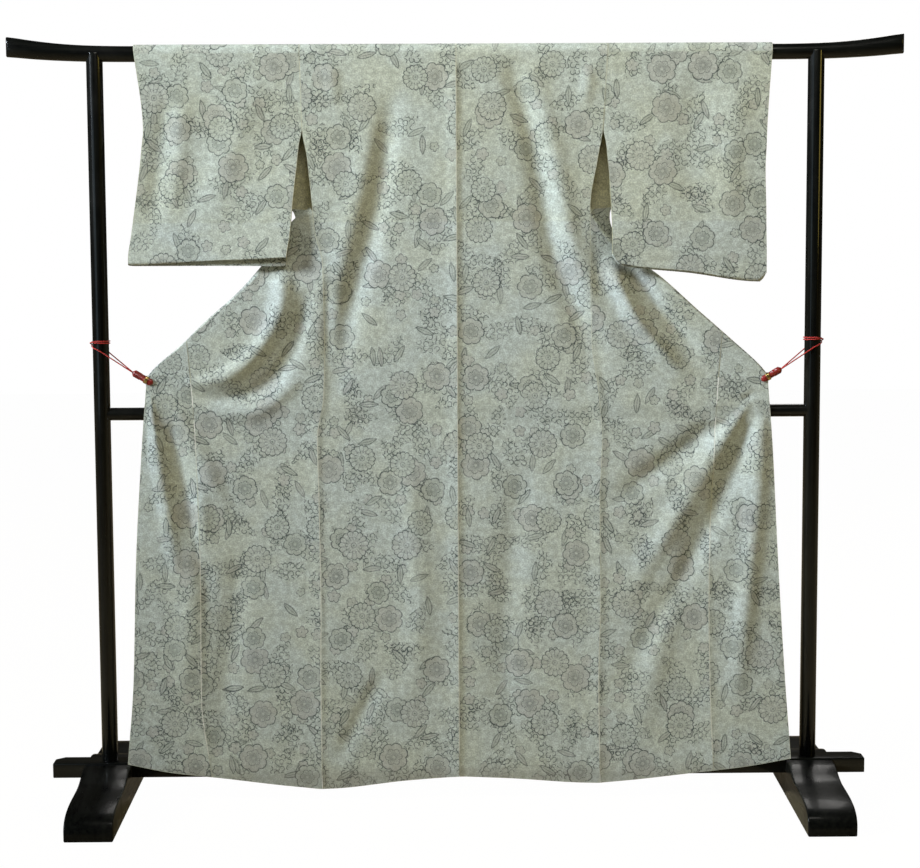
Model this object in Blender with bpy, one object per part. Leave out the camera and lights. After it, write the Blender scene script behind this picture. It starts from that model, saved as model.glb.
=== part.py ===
"""A silk kimono hung over a lacquered kimono rack, its back on the -Y side. Metres, +Z up, floor at Z = 0.

The cloth is thin sheets of quads given their wall by Solidify. Left is -X and right is +X."""

import math

import bmesh
import bpy
import numpy as np
from mathutils import Matrix, Vector

# Cloth
WALL = 0.0012
SEAM_GAP = 0.0004  # space between two pieces at a seam
NECK_HALF = 0.092
CREST_ROWS = 5
SEAM_ROWS = 13  # rows of quads from the hem to the armpit, alike on both sides of a seam
ARMHOLE_ROWS = 5
COLLAR_WIDTH = 0.055

# Rack
BAR_Z = 1.587
BAR_HALF_DEPTH = 0.0150
POST_X = 0.7525
POST_RADIUS = 0.0172
RAIL_Z = 0.834
RAIL_RADIUS = 0.0135
BEAM_HALF_LENGTH = 0.872
BEAM_HALF_DEPTH = 0.028
BEAM_BOTTOM = 0.052
BEAM_TOP = 0.084
BEAM_CHAMFER = 0.018
FOOT_WIDTH = 0.100
FIT_GAP = 0.0003

# Where the cloth's middle surface passes over the bar
CREST_DEPTH = 0.0172
CREST_HEIGHT = 0.0187

# Clips and their ties
CLIP_LENGTH = 0.050
CLIP_WIDTH = 0.016
JAW_FACE = 0.0072
JAW_GAP = 0.0036
SLOT_START = 0.019
BAND_ENDS = (0.029, 0.036)
BAND_WALL = 0.0009
CORD_DIAMETER = 0.0026
TIE_POINTS = 48
TIE_RUN_POINTS = 9
# The tie's height as it goes round its post. Columns: degrees from the post's front, z
TIE_TURNS = (
    (1.0, 0.9695), (50.0, 0.9765), (90.0, 0.9805), (180.0, 0.9835), (360.0, 0.9860),
    (540.0, 0.9885), (735.0, 0.9900), (820.0, 0.9840), (931.0, 0.9660),
)

LEFT, RIGHT = 0, 1
SIGN = (-1.0, 1.0)
NAME = ("left", "right")

# Half width of the back from the centre seam to the armhole edge and the side seam. Columns: z, left, right
SIDE_LINE = (
    (0.04, 0.294, 0.302),
    (0.26, 0.295, 0.299),
    (0.43, 0.293, 0.303),
    (0.65, 0.295, 0.302),
    (0.78, 0.297, 0.307),
    (0.87, 0.283, 0.300),
    (0.98, 0.280, 0.285),
    (1.15, 0.282, 0.282),
    (1.22, 0.298, 0.2805),
    (1.27, 0.3025, 0.2800),
    (1.37, 0.312, 0.296),
    (1.43, 0.3215, 0.306),
    (1.60, 0.3255, 0.316),
)
# Seam between front panel and front gore. Columns: z, left, right
GORE_SEAM = ((0.055, 0.530, 0.546), (0.222, 0.550, 0.538), (0.50, 0.546, 0.532), (0.79, 0.542, 0.533))
# Free front edge below the clip. Columns: z, left, right
FRONT_EDGE = (
    (0.085, 0.710, 0.712),
    (0.26, 0.695, 0.698),
    (0.52, 0.686, 0.682),
    (0.78, 0.671, 0.670),
    (0.89, 0.663, 0.663),
)
# Height of the hem. Columns: distance from the centre seam, left, right
HEM = (
    (0.00, 0.052, 0.052),
    (0.11, 0.044, 0.047),
    (0.29, 0.027, 0.036),
    (0.34, 0.031, 0.039),
    (0.53, 0.054, 0.059),
    (0.61, 0.063, 0.068),
    (0.715, 0.084, 0.086),
)
# Line on which each front turns from the far side to the near side, armhole end to clip.
# Columns: share of the line, left x, left z, right x, right z
FOLD_LINE = (
    (0.00, 0.307, 1.268, 0.283, 1.264),
    (0.10, 0.344, 1.240, 0.313, 1.215),
    (0.30, 0.407, 1.150, 0.365, 1.165),
    (0.45, 0.460, 1.091, 0.425, 1.122),
    (0.62, 0.527, 1.032, 0.508, 1.048),
    (0.75, 0.583, 0.979, 0.574, 0.990),
    (0.92, 0.640, 0.930, 0.640, 0.930),
    (1.00, 0.658, 0.908, 0.658, 0.908),
)
GORE_SHARE = 0.72  # share of the fold line that the front panel takes, before the gore
# Upper part of each front, hanging on the far side. The inner edge meets the collar, the outer edge is the
# armhole. Columns: inner x, inner z, outer x (0 for the seam line), outer z, inner y, outer y
FAR_FRONT = (
    (0.092, 1.587, 0.0, 1.587, 0.0172, 0.0172),
    (0.128, 1.510, 0.0, 1.510, 0.0185, 0.0185),
    (0.165, 1.430, 0.0, 1.432, 0.0190, 0.0190),
    (0.220, 1.330, 0.334, 1.360, 0.0180, 0.0165),
    (0.290, 1.225, 0.340, 1.300, 0.0150, 0.0120),
    (0.400, 1.108, 0.325, 1.279, 0.0080, 0.0060),
)
# Outer edge of the front gore on the far side, where the collar is sewn. Columns: share, x, z
RIGHT_ARMHOLE_SHIFT = 0.022  # the right armhole lies this much nearer the middle
GORE_FAR_EDGE = ((0.0, 0.4010, 1.1070), (0.4, 0.500, 1.014), (0.75, 0.583, 0.940), (1.0, 0.640, 0.893))
GORE_FAR_DEPTH = (0.0075, -0.0125)  # Y of that edge at its first and last row

# Neck seam from the centre to the shoulder, just past the crest of the bar. Columns: x, y, z
NECK_LINE = ((0.0, 0.0162, 1.5958), (0.040, 0.0162, 1.5956), (0.070, 0.0166, 1.5925), (0.090, 0.0176, 1.5830))

# Sleeves: inner and outer edges. Columns: z, left inner, left outer, right inner, right outer
SLEEVE_EDGES = (
    (1.11, 0.357, 0.689, 0.331, 0.650),
    (1.165, 0.356, 0.688, 0.325, 0.650),
    (1.21, 0.349, 0.681, 0.325, 0.649),
    (1.27, 0.343, 0.672, 0.323, 0.648),
    (1.34, 0.335, 0.662, 0.318, 0.646),
    (1.40, 0.328, 0.655, 0.312, 0.648),
    (1.43, 0.3221, 0.652, 0.3066, 0.649),
    (1.60, 0.3261, 0.670, 0.3166, 0.659),
)
# Sleeve bottoms. Columns: share from inner to outer edge, left near z, left far z, right near z, right far z
SLEEVE_BOTTOM = (
    (0.00, 1.166, 1.149, 1.170, 1.168),
    (0.04, 1.165, 1.147, 1.150, 1.146),
    (0.50, 1.159, 1.148, 1.132, 1.128),
    (0.96, 1.152, 1.148, 1.112, 1.109),
    (1.00, 1.152, 1.149, 1.130, 1.128),
)
# Depth of the sleeve's two layers. Columns: z, near inner, near outer, far inner, far outer
SLEEVE_DEPTH = (
    (1.11, -0.0420, -0.0235, -0.0290, -0.0185),
    (1.24, -0.0360, -0.0225, -0.0220, -0.0175),
    (1.30, -0.0300, -0.0218, -0.0100, -0.0165),
    (1.36, -0.0240, -0.0210, 0.0050, -0.0120),
    (1.40, -0.0200, -0.0200, 0.0150, 0.0100),
    (1.43, -0.0178, -0.0185, 0.0190, 0.0170),
    (1.587, -0.0172, -0.0172, 0.0172, 0.0172),
)
SLEEVE_SHARES = (0.0, 0.04, 0.2, 0.4, 0.6, 0.8, 0.96, 1.0)
SLEEVE_HEIGHTS = (1.50, 1.43, 1.40, 1.36, 1.30, 1.24, 1.19)

# Depth of the near surface where it hangs plain: over the bar, on the middle rail, before the beam
NEAR_DEPTH = (
    (0.03, -0.0370), (0.10, -0.0350), (0.45, -0.0245), (0.834, -0.0166), (1.20, -0.0195), (1.587, -0.0172),
)
# Largest folds of the near surface. Columns: x0, z0, x1, z1, half width, height towards the viewer
FOLDS = (
    (0.110, 1.520, 0.150, 1.150, 0.022, -0.0045),
    (0.155, 1.480, 0.250, 0.950, 0.022, 0.0045),
    (-0.150, 1.420, -0.185, 1.150, 0.024, -0.0045),
    (-0.105, 1.400, -0.130, 1.100, 0.020, 0.0030),
    (-0.395, 1.120, -0.405, 1.020, 0.014, 0.0060),
    (-0.405, 1.010, -0.540, 0.900, 0.016, 0.0060),
    (-0.395, 0.980, -0.540, 0.865, 0.018, -0.0050),
    (-0.370, 0.900, -0.560, 0.850, 0.020, 0.0030),
    (-0.655, 0.850, -0.600, 0.540, 0.016, -0.0050),
    (-0.625, 0.840, -0.560, 0.560, 0.016, 0.0050),
    (0.345, 1.120, 0.460, 0.900, 0.016, 0.0065),
    (0.375, 1.120, 0.490, 0.920, 0.014, -0.0055),
    (0.640, 0.890, 0.420, 0.800, 0.018, -0.0055),
    (0.630, 0.860, 0.400, 0.500, 0.020, -0.0045),
    (0.650, 0.850, 0.540, 0.600, 0.018, 0.0055),
    (0.645, 0.870, 0.620, 0.560, 0.014, -0.0040),
)
# The wings' upper corners lie further back, behind the sleeves. Columns: x, z, radius, depth
SET_BACK = ((-0.385, 1.185, 0.050, 0.0150), (0.372, 1.180, 0.050, 0.0150))
CLIP_POINT = (0.650, 0.905)
# The rail and the beam keep the near surface in front of them. Columns: z, reach up and down, largest Y
HELD_OFF = ((0.834, 0.12, -0.0154), (0.068, 0.15, -0.0300))

# Top bar. Columns: x, rise of the middle, half height
TOP_BAR = (
    (0.00, 0.0000, 0.0165),
    (0.68, 0.0000, 0.0165),
    (0.76, 0.0012, 0.0168),
    (0.82, 0.0040, 0.0176),
    (0.88, 0.0092, 0.0192),
    (0.93, 0.0155, 0.0208),
)
BAR_END_SLANT = 0.005
# Foot profile from its middle outwards. Columns: y, z
FOOT_PROFILE = (
    (0.058, 0.0805), (0.080, 0.0770), (0.115, 0.0665), (0.150, 0.0615), (0.235, 0.0590), (0.285, 0.0535),
)
FOOT_TOE = ((0.312, 0.0450), (0.325, 0.0330), (0.330, 0.0150), (0.330, 0.0))

CLOTH_COLOUR = (0.52, 0.55, 0.47)
COLOURS = {
    "kimono_silk": (CLOTH_COLOUR, 0.55, 0.0),
    "black_lacquer": ((0.012, 0.012, 0.013), 0.22, 0.0),
    "red_cord": ((0.42, 0.02, 0.03), 0.6, 0.0),
    "clip_red": ((0.33, 0.015, 0.02), 0.35, 0.0),
    "gilt_metal": ((0.75, 0.55, 0.2), 0.3, 1.0),
}


def clear_scene():
    for obj in list(bpy.data.objects):
        bpy.data.objects.remove(obj, do_unlink=True)


def make_material(name, colour, roughness, metallic):
    material = bpy.data.materials.new(name)
    material.use_nodes = True
    shader = material.node_tree.nodes["Principled BSDF"]
    shader.inputs["Base Color"].default_value = (*colour, 1.0)
    shader.inputs["Roughness"].default_value = roughness
    shader.inputs["Metallic"].default_value = metallic
    material.diffuse_color = (*colour, 1.0)
    return material


def column(table, at, which):
    """Reads a table's column by its first column."""
    keys = [row[0] for row in table]
    return float(np.interp(at, keys, [row[which] for row in table]))


def lerp(a, b, share):
    return a + (b - a) * share


def smooth(share):
    share = min(max(share, 0.0), 1.0)
    return share * share * (3 - 2 * share)


def fold_height(x, z, fold):
    """A soft ridge along a line from one point to the other, faded towards both ends."""
    x0, z0, x1, z1, half_width, height = fold
    along = Vector((x1 - x0, z1 - z0))
    share = Vector((x - x0, z - z0)).dot(along) / along.length_squared
    clamped = min(max(share, 0.0), 1.0)
    away = math.hypot(x - x0 - clamped * along.x, z - z0 - clamped * along.y)
    fade = smooth(4 * (clamped + 0.08)) * smooth(4 * (1.08 - clamped))
    return height * math.exp(-((away / half_width) ** 2)) * fade


def near_depth(x, z):
    """Y of the near surface, back and turned-out fronts alike."""
    depth = column(NEAR_DEPTH, z, 1)
    for bx, bz, radius, back in SET_BACK:
        depth += back * math.exp(-((x - bx) ** 2 + (z - bz) ** 2) / (2 * radius**2))
    pinch = math.hypot(abs(x) - CLIP_POINT[0], z - CLIP_POINT[1])
    depth -= sum(fold_height(x, z, fold) for fold in FOLDS) * smooth(pinch / 0.10)
    for height, reach, limit in HELD_OFF:
        if abs(z - height) < reach:
            depth = min(depth, limit)
    return depth


def side_x(z, side):
    return column(SIDE_LINE, z, 1 + side)


def hem_z(x, side):
    return column(HEM, x, 1 + side)


def fold_point(share, side):
    return column(FOLD_LINE, share, 1 + 2 * side), column(FOLD_LINE, share, 2 + 2 * side)


def fold_radius(share):
    return lerp(0.0100, 0.0017, smooth(share * 1.15))


def near_point(x, z, side):
    signed = SIGN[side] * x
    return Vector((signed, near_depth(signed, z), z))


def fold_rows(shares, side):
    """Points that turn about the fold line, from the near surface to the far one."""
    rows = []
    for angle in (-90, -45, 0, 45, 90):
        row = []
        for share in shares:
            x, z = fold_point(share, side)
            ahead, behind = fold_point(min(share + 0.03, 1.0), side), fold_point(max(share - 0.03, 0.0), side)
            tangent = Vector((ahead[0] - behind[0], ahead[1] - behind[1])).normalized()
            radius = fold_radius(share)
            base_x, base_z = x + tangent.y * radius, z - tangent.x * radius
            middle = near_depth(SIGN[side] * base_x, base_z) + radius
            turn = math.radians(angle)
            out = radius * math.cos(turn)
            row.append(
                Vector(
                    (
                        SIGN[side] * (base_x - tangent.y * out),
                        middle + radius * math.sin(turn),
                        base_z + tangent.x * out,
                    )
                )
            )
        rows.append(row)
    return rows


def make_object(name, mesh_data, material):
    mesh = bpy.data.meshes.new(name)
    mesh_data.to_mesh(mesh)
    mesh_data.free()
    mesh.materials.append(bpy.data.materials[material])
    obj = bpy.data.objects.new(name, mesh)
    bpy.context.scene.collection.objects.link(obj)
    return obj


def cloth_sheet(name, rows, closed=False):
    """A sheet through rows of points. None leaves a gap, and Solidify gives the wall."""
    mesh_data = bmesh.new()
    grid = [[None if point is None else mesh_data.verts.new(point) for point in row] for row in rows]
    if closed:
        grid.append(grid[0])
    for lower, upper in zip(grid, grid[1:]):
        for first in range(len(lower) - 1):
            corners = (lower[first], lower[first + 1], upper[first + 1], upper[first])
            if None not in corners:
                mesh_data.faces.new(corners)
    bmesh.ops.recalc_face_normals(mesh_data, faces=mesh_data.faces)
    obj = make_object(name, mesh_data, "kimono_silk")
    wall = obj.modifiers.new("wall", "SOLIDIFY")
    wall.thickness = WALL
    wall.offset = 0.0
    obj.data.shade_smooth()
    return obj


def crest_angles():
    return [math.radians(180 * step / (CREST_ROWS + 1)) for step in range(1, CREST_ROWS + 1)]


def body_panel(side):
    """One width of cloth: back, over the bar, far front, round the fold and down the near side to the hem."""
    shares = [0.0, 0.14, NECK_HALF / side_x(1.587, side), 0.45, 0.62, 0.80, 1.0]
    neck_column = 2
    armpit_z = fold_point(0.0, side)[1]
    rows = []
    for step in range(SEAM_ROWS + ARMHOLE_ROWS + 1):
        row = []
        for share in shares:
            foot = hem_z(share * side_x(0.04, side), side)
            if step <= SEAM_ROWS:
                z = lerp(foot, armpit_z, step / SEAM_ROWS)
            else:
                z = lerp(armpit_z, BAR_Z, (step - SEAM_ROWS) / ARMHOLE_ROWS)
            x = lerp(SEAM_GAP / 2, side_x(z, side) - SEAM_GAP / 2, share)
            row.append(near_point(x, z, side))
        rows.append(row)
    for angle in crest_angles():
        z = BAR_Z + CREST_HEIGHT * math.sin(angle)
        y = -CREST_DEPTH * math.cos(angle)
        edges = SEAM_GAP / 2, side_x(z, side) - SEAM_GAP / 2
        rows.append([Vector((SIGN[side] * lerp(*edges, share), y, z)) for share in shares])
    neck = shares[neck_column]
    front_shares = [(share - neck) / (1 - neck) for share in shares[neck_column:]]
    lead = [None] * neck_column
    for inner_x, inner_z, outer_x, outer_z, inner_y, outer_y in FAR_FRONT:
        outer = outer_x or side_x(outer_z, side) - SEAM_GAP / 2
        if outer_x and side == RIGHT:
            outer -= RIGHT_ARMHOLE_SHIFT
        row = []
        for w in front_shares:
            x, z = lerp(inner_x, outer, w), lerp(inner_z, outer_z, w)
            row.append(Vector((SIGN[side] * x, lerp(inner_y, outer_y, w), z)))
        rows.append(lead + row)
    fold_shares = [GORE_SHARE * (1 - w) for w in front_shares]
    turned = fold_rows(fold_shares, side)
    rows.extend(lead + row for row in reversed(turned))
    for step in range(1, SEAM_ROWS + 1):
        down = step / SEAM_ROWS
        row = []
        for w, share in zip(front_shares, fold_shares):
            top_x, top_z = fold_point(share, side)
            low_x = lerp(column(GORE_SEAM, 0.055, 1 + side), side_x(0.04, side), w)
            z = lerp(top_z, hem_z(low_x, side), down)
            x = lerp(column(GORE_SEAM, z, 1 + side) - SEAM_GAP / 2, side_x(z, side) + SEAM_GAP / 2, w)
            high_x = lerp(column(GORE_SEAM, top_z, 1 + side), side_x(top_z, side), w)
            x += (top_x - high_x) * (1 - down) ** 3
            row.append(near_point(x, z, side))
        rows.append(lead + row)
    return cloth_sheet(f"body_{NAME[side]}", rows)


def gore(side):
    """Front gore: near side from the fold line to the hem, and the strip behind it up to the collar."""
    columns = [0.0, 0.3, 0.6, 0.85, 1.0]
    shares = [lerp(GORE_SHARE + 0.004, 1.0, q) for q in columns]
    turned = fold_rows(shares, side)
    rows = []
    for step in range(SEAM_ROWS):
        up = step / SEAM_ROWS
        row = []
        for q, share in zip(columns, shares):
            top_x, top_z = fold_point(share, side)
            low_x = lerp(column(GORE_SEAM, 0.055, 1 + side), column(FRONT_EDGE, 0.085, 1 + side), q)
            z = lerp(hem_z(low_x, side), top_z, up)
            x = lerp(column(GORE_SEAM, z, 1 + side) + SEAM_GAP / 2, column(FRONT_EDGE, z, 1 + side), q)
            high_x = lerp(column(GORE_SEAM, top_z, 1 + side), column(FRONT_EDGE, top_z, 1 + side), q)
            x += (top_x - high_x) * up**3
            row.append(near_point(x, z, side))
        rows.append(row)
    rows.extend(turned)
    for step in range(1, 4):
        across = step / 3
        row = []
        for q, start in zip(columns, turned[-1]):
            x, z = column(GORE_FAR_EDGE, q, 1), column(GORE_FAR_EDGE, q, 2)
            end = Vector((SIGN[side] * x, lerp(*GORE_FAR_DEPTH, smooth(q)), z))
            row.append(start.lerp(end, across))
        rows.append(row)
    return cloth_sheet(f"gore_{NAME[side]}", rows)


def sleeve(side):
    """A tube round the bar: near layer, bottom fold, far layer, and over the bar again."""

    def point(share, z, near):
        inner = column(SLEEVE_EDGES, z, 1 + 2 * side)
        outer = column(SLEEVE_EDGES, z, 2 + 2 * side)
        depth = lerp(
            column(SLEEVE_DEPTH, z, 1 if near else 3), column(SLEEVE_DEPTH, z, 2 if near else 4), share
        )
        return Vector((SIGN[side] * lerp(inner, outer, share), depth, z))

    def layer(near):
        bottom = 1 + 2 * side + (0 if near else 1)
        rows = [[point(share, z, near) for share in SLEEVE_SHARES] for z in (BAR_Z, *SLEEVE_HEIGHTS)]
        rows.append([point(share, column(SLEEVE_BOTTOM, share, bottom), near) for share in SLEEVE_SHARES])
        return rows

    over = []
    for angle in crest_angles():
        z = BAR_Z + CREST_HEIGHT * math.sin(angle)
        y = CREST_DEPTH * math.cos(angle)
        row = []
        for share in SLEEVE_SHARES:
            flat = point(share, z, True)
            row.append(Vector((flat.x, y, z)))
        over.append(row)
    near, far = layer(True), layer(False)
    under = [a.lerp(b, 0.5) + Vector((0, 0, -0.0015)) for a, b in zip(near[-1], far[-1])]
    return cloth_sheet(f"sleeve_{NAME[side]}", near + [under] + far[::-1] + over, closed=True)


def collar_seam():
    """The line where the collar is sewn on, from the centre of the neck to the clip, for the right side."""
    line = [Vector(point) for point in NECK_LINE]
    line += [Vector((row[0], row[4], row[1])) for row in FAR_FRONT[1:]]
    for share, x, z in GORE_FAR_EDGE[1:]:
        line.append(Vector((x, lerp(*GORE_FAR_DEPTH, smooth(share)), z)))
    return line


def collar():
    """A band sewn edge to edge along both fronts and the neck."""
    half = collar_seam()
    line = [Vector((-p.x, p.y, p.z)) for p in reversed(half[1:])] + half
    rows = [[], [], []]
    for index, here in enumerate(line):
        before, after = line[max(index - 1, 0)], line[min(index + 1, len(line) - 1)]
        along = Vector((after.x - before.x, 0, after.z - before.z)).normalized()
        inward = Vector((along.z, 0, -along.x))
        from_end = min(index, len(line) - 1 - index)
        width = COLLAR_WIDTH * lerp(0.55, 1.0, min(from_end / 2, 1.0))
        for row, share in zip(rows, (0.0, 0.5, 1.0)):
            reach = lerp(0.0012, width, share)
            row.append(here + inward * reach + Vector((0, 0.002 * share, 0)))
    return cloth_sheet("collar", rows)


def lofted(name, sections, material):
    """A solid through closed sections of equal point count, with flat ends."""
    mesh_data = bmesh.new()
    rings = [[mesh_data.verts.new(point) for point in section] for section in sections]
    for ring, following in zip(rings, rings[1:]):
        for index in range(len(ring)):
            after = (index + 1) % len(ring)
            mesh_data.faces.new((ring[index], ring[after], following[after], following[index]))
    mesh_data.faces.new(rings[0])
    mesh_data.faces.new(rings[-1])
    bmesh.ops.recalc_face_normals(mesh_data, faces=mesh_data.faces)
    return make_object(name, mesh_data, material)


def bar_sections(grow=0.0):
    sections = []
    table = [(-row[0], *row[1:]) for row in reversed(TOP_BAR[1:])] + list(TOP_BAR)
    for x, rise, half_height in table:
        section = []
        slant = math.copysign(BAR_END_SLANT, x) if abs(x) > 0.9 else 0.0
        for step in range(16):
            turn = 2 * math.pi * (step + 0.5) / 16
            up, out = math.sin(turn), math.cos(turn)
            z = BAR_Z + rise + (half_height + grow) * math.copysign(abs(up) ** 0.8, up)
            y = (BAR_HALF_DEPTH + grow) * math.copysign(abs(out) ** 0.8, out)
            section.append(Vector((x + slant * up, y, z)))
        sections.append(section)
    return sections


def cylinder(name, radius, start, end, material, sides=24):
    axis = (end - start).normalized()
    turn = axis.to_track_quat("Z", "Y").to_matrix().to_4x4()
    mesh_data = bmesh.new()
    matrix = Matrix.Translation((start + end) / 2) @ turn
    length = (end - start).length
    bmesh.ops.create_cone(
        mesh_data, cap_ends=True, segments=sides, radius1=radius, radius2=radius, depth=length, matrix=matrix
    )
    return make_object(name, mesh_data, material)


def prism(name, outline, low, high, axis, material):
    """Extrudes an outline along X or Z. The outline lists (y, z) for X and (x, y) for Z."""
    ends = []
    for at in (low, high):
        ends.append([Vector((at, *p)) if axis == "X" else Vector((*p, at)) for p in outline])
    return lofted(name, ends, material)


def cut(obj, cutter):
    cutter.hide_render = True
    cutter.display_type = "WIRE"
    modifier = obj.modifiers.new(f"cut_{cutter.name}", "BOOLEAN")
    modifier.operation = "DIFFERENCE"
    modifier.object = cutter


def rack():
    lofted("top_bar", bar_sections(), "black_lacquer")
    bar_cutter = lofted("bar_cutter", bar_sections(FIT_GAP), "black_lacquer")
    rail = cylinder(
        "middle_rail", RAIL_RADIUS, Vector((-POST_X, 0, RAIL_Z)), Vector((POST_X, 0, RAIL_Z)), "black_lacquer"
    )
    beam_outline = (
        (-BEAM_HALF_LENGTH, -BEAM_HALF_DEPTH),
        (BEAM_HALF_LENGTH, -BEAM_HALF_DEPTH),
        (BEAM_HALF_LENGTH, BEAM_HALF_DEPTH - BEAM_CHAMFER),
        (BEAM_HALF_LENGTH - BEAM_CHAMFER, BEAM_HALF_DEPTH),
        (-BEAM_HALF_LENGTH + BEAM_CHAMFER, BEAM_HALF_DEPTH),
        (-BEAM_HALF_LENGTH, BEAM_HALF_DEPTH - BEAM_CHAMFER),
    )
    prism("base_beam", beam_outline, BEAM_BOTTOM, BEAM_TOP, "Z", "black_lacquer")
    for side in (LEFT, RIGHT):
        x = SIGN[side] * POST_X
        base, top = Vector((x, 0, BEAM_TOP + FIT_GAP)), Vector((x, 0, BAR_Z + 0.003))
        post = cylinder(f"post_{NAME[side]}", POST_RADIUS, base, top, "black_lacquer")
        cut(post, bar_cutter)
        socket = cylinder(f"socket_{NAME[side]}", POST_RADIUS + FIT_GAP, base, top, "black_lacquer")
        cut(rail, socket)
        half = list(FOOT_PROFILE) + list(FOOT_TOE)
        outline = [(y, z) for y, z in half] + [(-y, z) for y, z in reversed(half)]
        low, high = x - FOOT_WIDTH / 2, x + FOOT_WIDTH / 2
        foot = prism(f"foot_{NAME[side]}", outline, low, high, "X", "black_lacquer")
        notch = (
            (-BEAM_HALF_DEPTH - FIT_GAP, BEAM_BOTTOM - FIT_GAP),
            (BEAM_HALF_DEPTH + FIT_GAP, BEAM_BOTTOM - FIT_GAP),
            (BEAM_HALF_DEPTH + FIT_GAP, BEAM_TOP + 0.02),
            (-BEAM_HALF_DEPTH - FIT_GAP, BEAM_TOP + 0.02),
        )
        cut(foot, prism(f"notch_{NAME[side]}", notch, low - 0.01, high + 0.01, "X", "black_lacquer"))


def clip_frame(side):
    """Matrix of a clip: its own X runs from the tie to the tip, Y is depth, Z is width."""
    tie = Vector((SIGN[side] * 0.6845, 0, 0.924))
    tip = Vector((SIGN[side] * 0.6400, 0, 0.8985))
    along = (tip - tie).normalized()
    depth = Vector((0, 1, 0))
    across = along.cross(depth)
    turn = Matrix((along, depth, across)).transposed().to_4x4()
    x, z = CLIP_POINT
    middle = near_depth(SIGN[side] * x, z) + fold_radius(1.0)
    return Matrix.Translation(Vector((tie.x, middle, tie.z))) @ turn


def clip(side):
    """A spring clip whose two jaws hold the corner of the turned-out front."""
    frame = clip_frame(side)
    half = [(0.0, 0.0042), (0.006, JAW_FACE - 0.001), (0.014, JAW_FACE), (0.044, JAW_FACE)]
    half += [(CLIP_LENGTH, 0.0056), (CLIP_LENGTH, JAW_GAP), (SLOT_START, JAW_GAP)]
    outline = [(x, -y) for x, y in half] + half[::-1]
    ends = [[frame @ Vector((x, y, w)) for x, y in outline] for w in (-CLIP_WIDTH / 2, CLIP_WIDTH / 2)]
    lofted(f"clip_{NAME[side]}", ends, "clip_red")
    inside, face = CLIP_WIDTH / 2 + FIT_GAP, -JAW_FACE - FIT_GAP
    outside, front = inside + BAND_WALL, face - BAND_WALL
    back = -JAW_GAP - 0.0001
    section = (
        (back, -outside), (front, -outside), (front, outside), (back, outside),
        (back, inside), (face, inside), (face, -inside), (back, -inside),
    )
    ends = [[frame @ Vector((x, y, w)) for y, w in section] for x in BAND_ENDS]
    lofted(f"clip_{NAME[side]}_band", ends, "gilt_metal")


def tie_route(side):
    """From the clip over the front of the post, round it, and back behind it to the clip."""
    frame = clip_frame(side)
    start = frame @ Vector((-0.0006, -0.0025, 0.0))
    finish = frame @ Vector((-0.0006, 0.0025, 0.0))
    turns = []
    for step in range(TIE_POINTS):
        # The turn is 0 at the front of the post and grows away from the clip.
        turn = lerp(TIE_TURNS[0][0], TIE_TURNS[-1][0], step / (TIE_POINTS - 1))
        ring = POST_RADIUS + CORD_DIAMETER / 2 + 0.0005
        ring += (CORD_DIAMETER + 0.0004) * smooth((turn - 735) / 60)
        angle = math.radians(turn)
        x = SIGN[side] * (POST_X + ring * math.sin(angle))
        turns.append(Vector((x, -ring * math.cos(angle), column(TIE_TURNS, turn, 1))))
    to_post = [start.lerp(turns[0], step / TIE_RUN_POINTS) for step in range(TIE_RUN_POINTS)]
    from_post = [turns[-1].lerp(finish, (step + 1) / TIE_RUN_POINTS) for step in range(TIE_RUN_POINTS)]
    return to_post + turns + from_post


def tie_cord(side):
    points = tie_route(side)
    curve = bpy.data.curves.new(f"cord_{NAME[side]}", "CURVE")
    curve.dimensions = "3D"
    curve.bevel_depth = CORD_DIAMETER / 2
    curve.bevel_resolution = 2
    curve.use_fill_caps = True
    spline = curve.splines.new("POLY")
    spline.points.add(len(points) - 1)
    for target, point in zip(spline.points, points):
        target.co = (*point, 1.0)
    curve.materials.append(bpy.data.materials["red_cord"])
    obj = bpy.data.objects.new(f"cord_{NAME[side]}", curve)
    bpy.context.scene.collection.objects.link(obj)


def main():
    clear_scene()
    for name, values in COLOURS.items():
        make_material(name, *values)
    rack()
    for side in (LEFT, RIGHT):
        body_panel(side)
        gore(side)
        sleeve(side)
        clip(side)
        tie_cord(side)
    collar()


main()
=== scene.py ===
# %% [markdown]
# # A silk kimono on a lacquered rack
# The kimono hangs over the rack's top bar with its back towards us. Its sleeves hang at both sides, and its
# two fronts are turned outwards and clipped to the posts, so that the whole cloth shows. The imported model
# is the fixed frame: it says where each piece goes. This script gives every piece its fine shape and its
# finish.

# %% Load the frame
import math

import bmesh
import bpy
import numpy as np
from mathutils import Matrix, Vector


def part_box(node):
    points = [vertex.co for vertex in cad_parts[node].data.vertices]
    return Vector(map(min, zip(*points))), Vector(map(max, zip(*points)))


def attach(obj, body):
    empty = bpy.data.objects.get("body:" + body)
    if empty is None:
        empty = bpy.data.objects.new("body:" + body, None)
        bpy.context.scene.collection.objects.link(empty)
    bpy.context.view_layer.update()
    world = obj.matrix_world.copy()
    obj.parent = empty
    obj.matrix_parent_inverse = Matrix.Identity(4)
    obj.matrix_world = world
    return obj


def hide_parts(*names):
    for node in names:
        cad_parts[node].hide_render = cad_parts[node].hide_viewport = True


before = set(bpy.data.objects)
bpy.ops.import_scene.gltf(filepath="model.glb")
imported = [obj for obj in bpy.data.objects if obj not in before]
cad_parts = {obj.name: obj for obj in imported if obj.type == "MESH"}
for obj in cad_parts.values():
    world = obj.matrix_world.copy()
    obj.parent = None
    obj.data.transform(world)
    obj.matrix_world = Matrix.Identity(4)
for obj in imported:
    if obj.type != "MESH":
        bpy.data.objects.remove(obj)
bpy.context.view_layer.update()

SIDES = ((0, "left", -1.0), (1, "right", 1.0))

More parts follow.
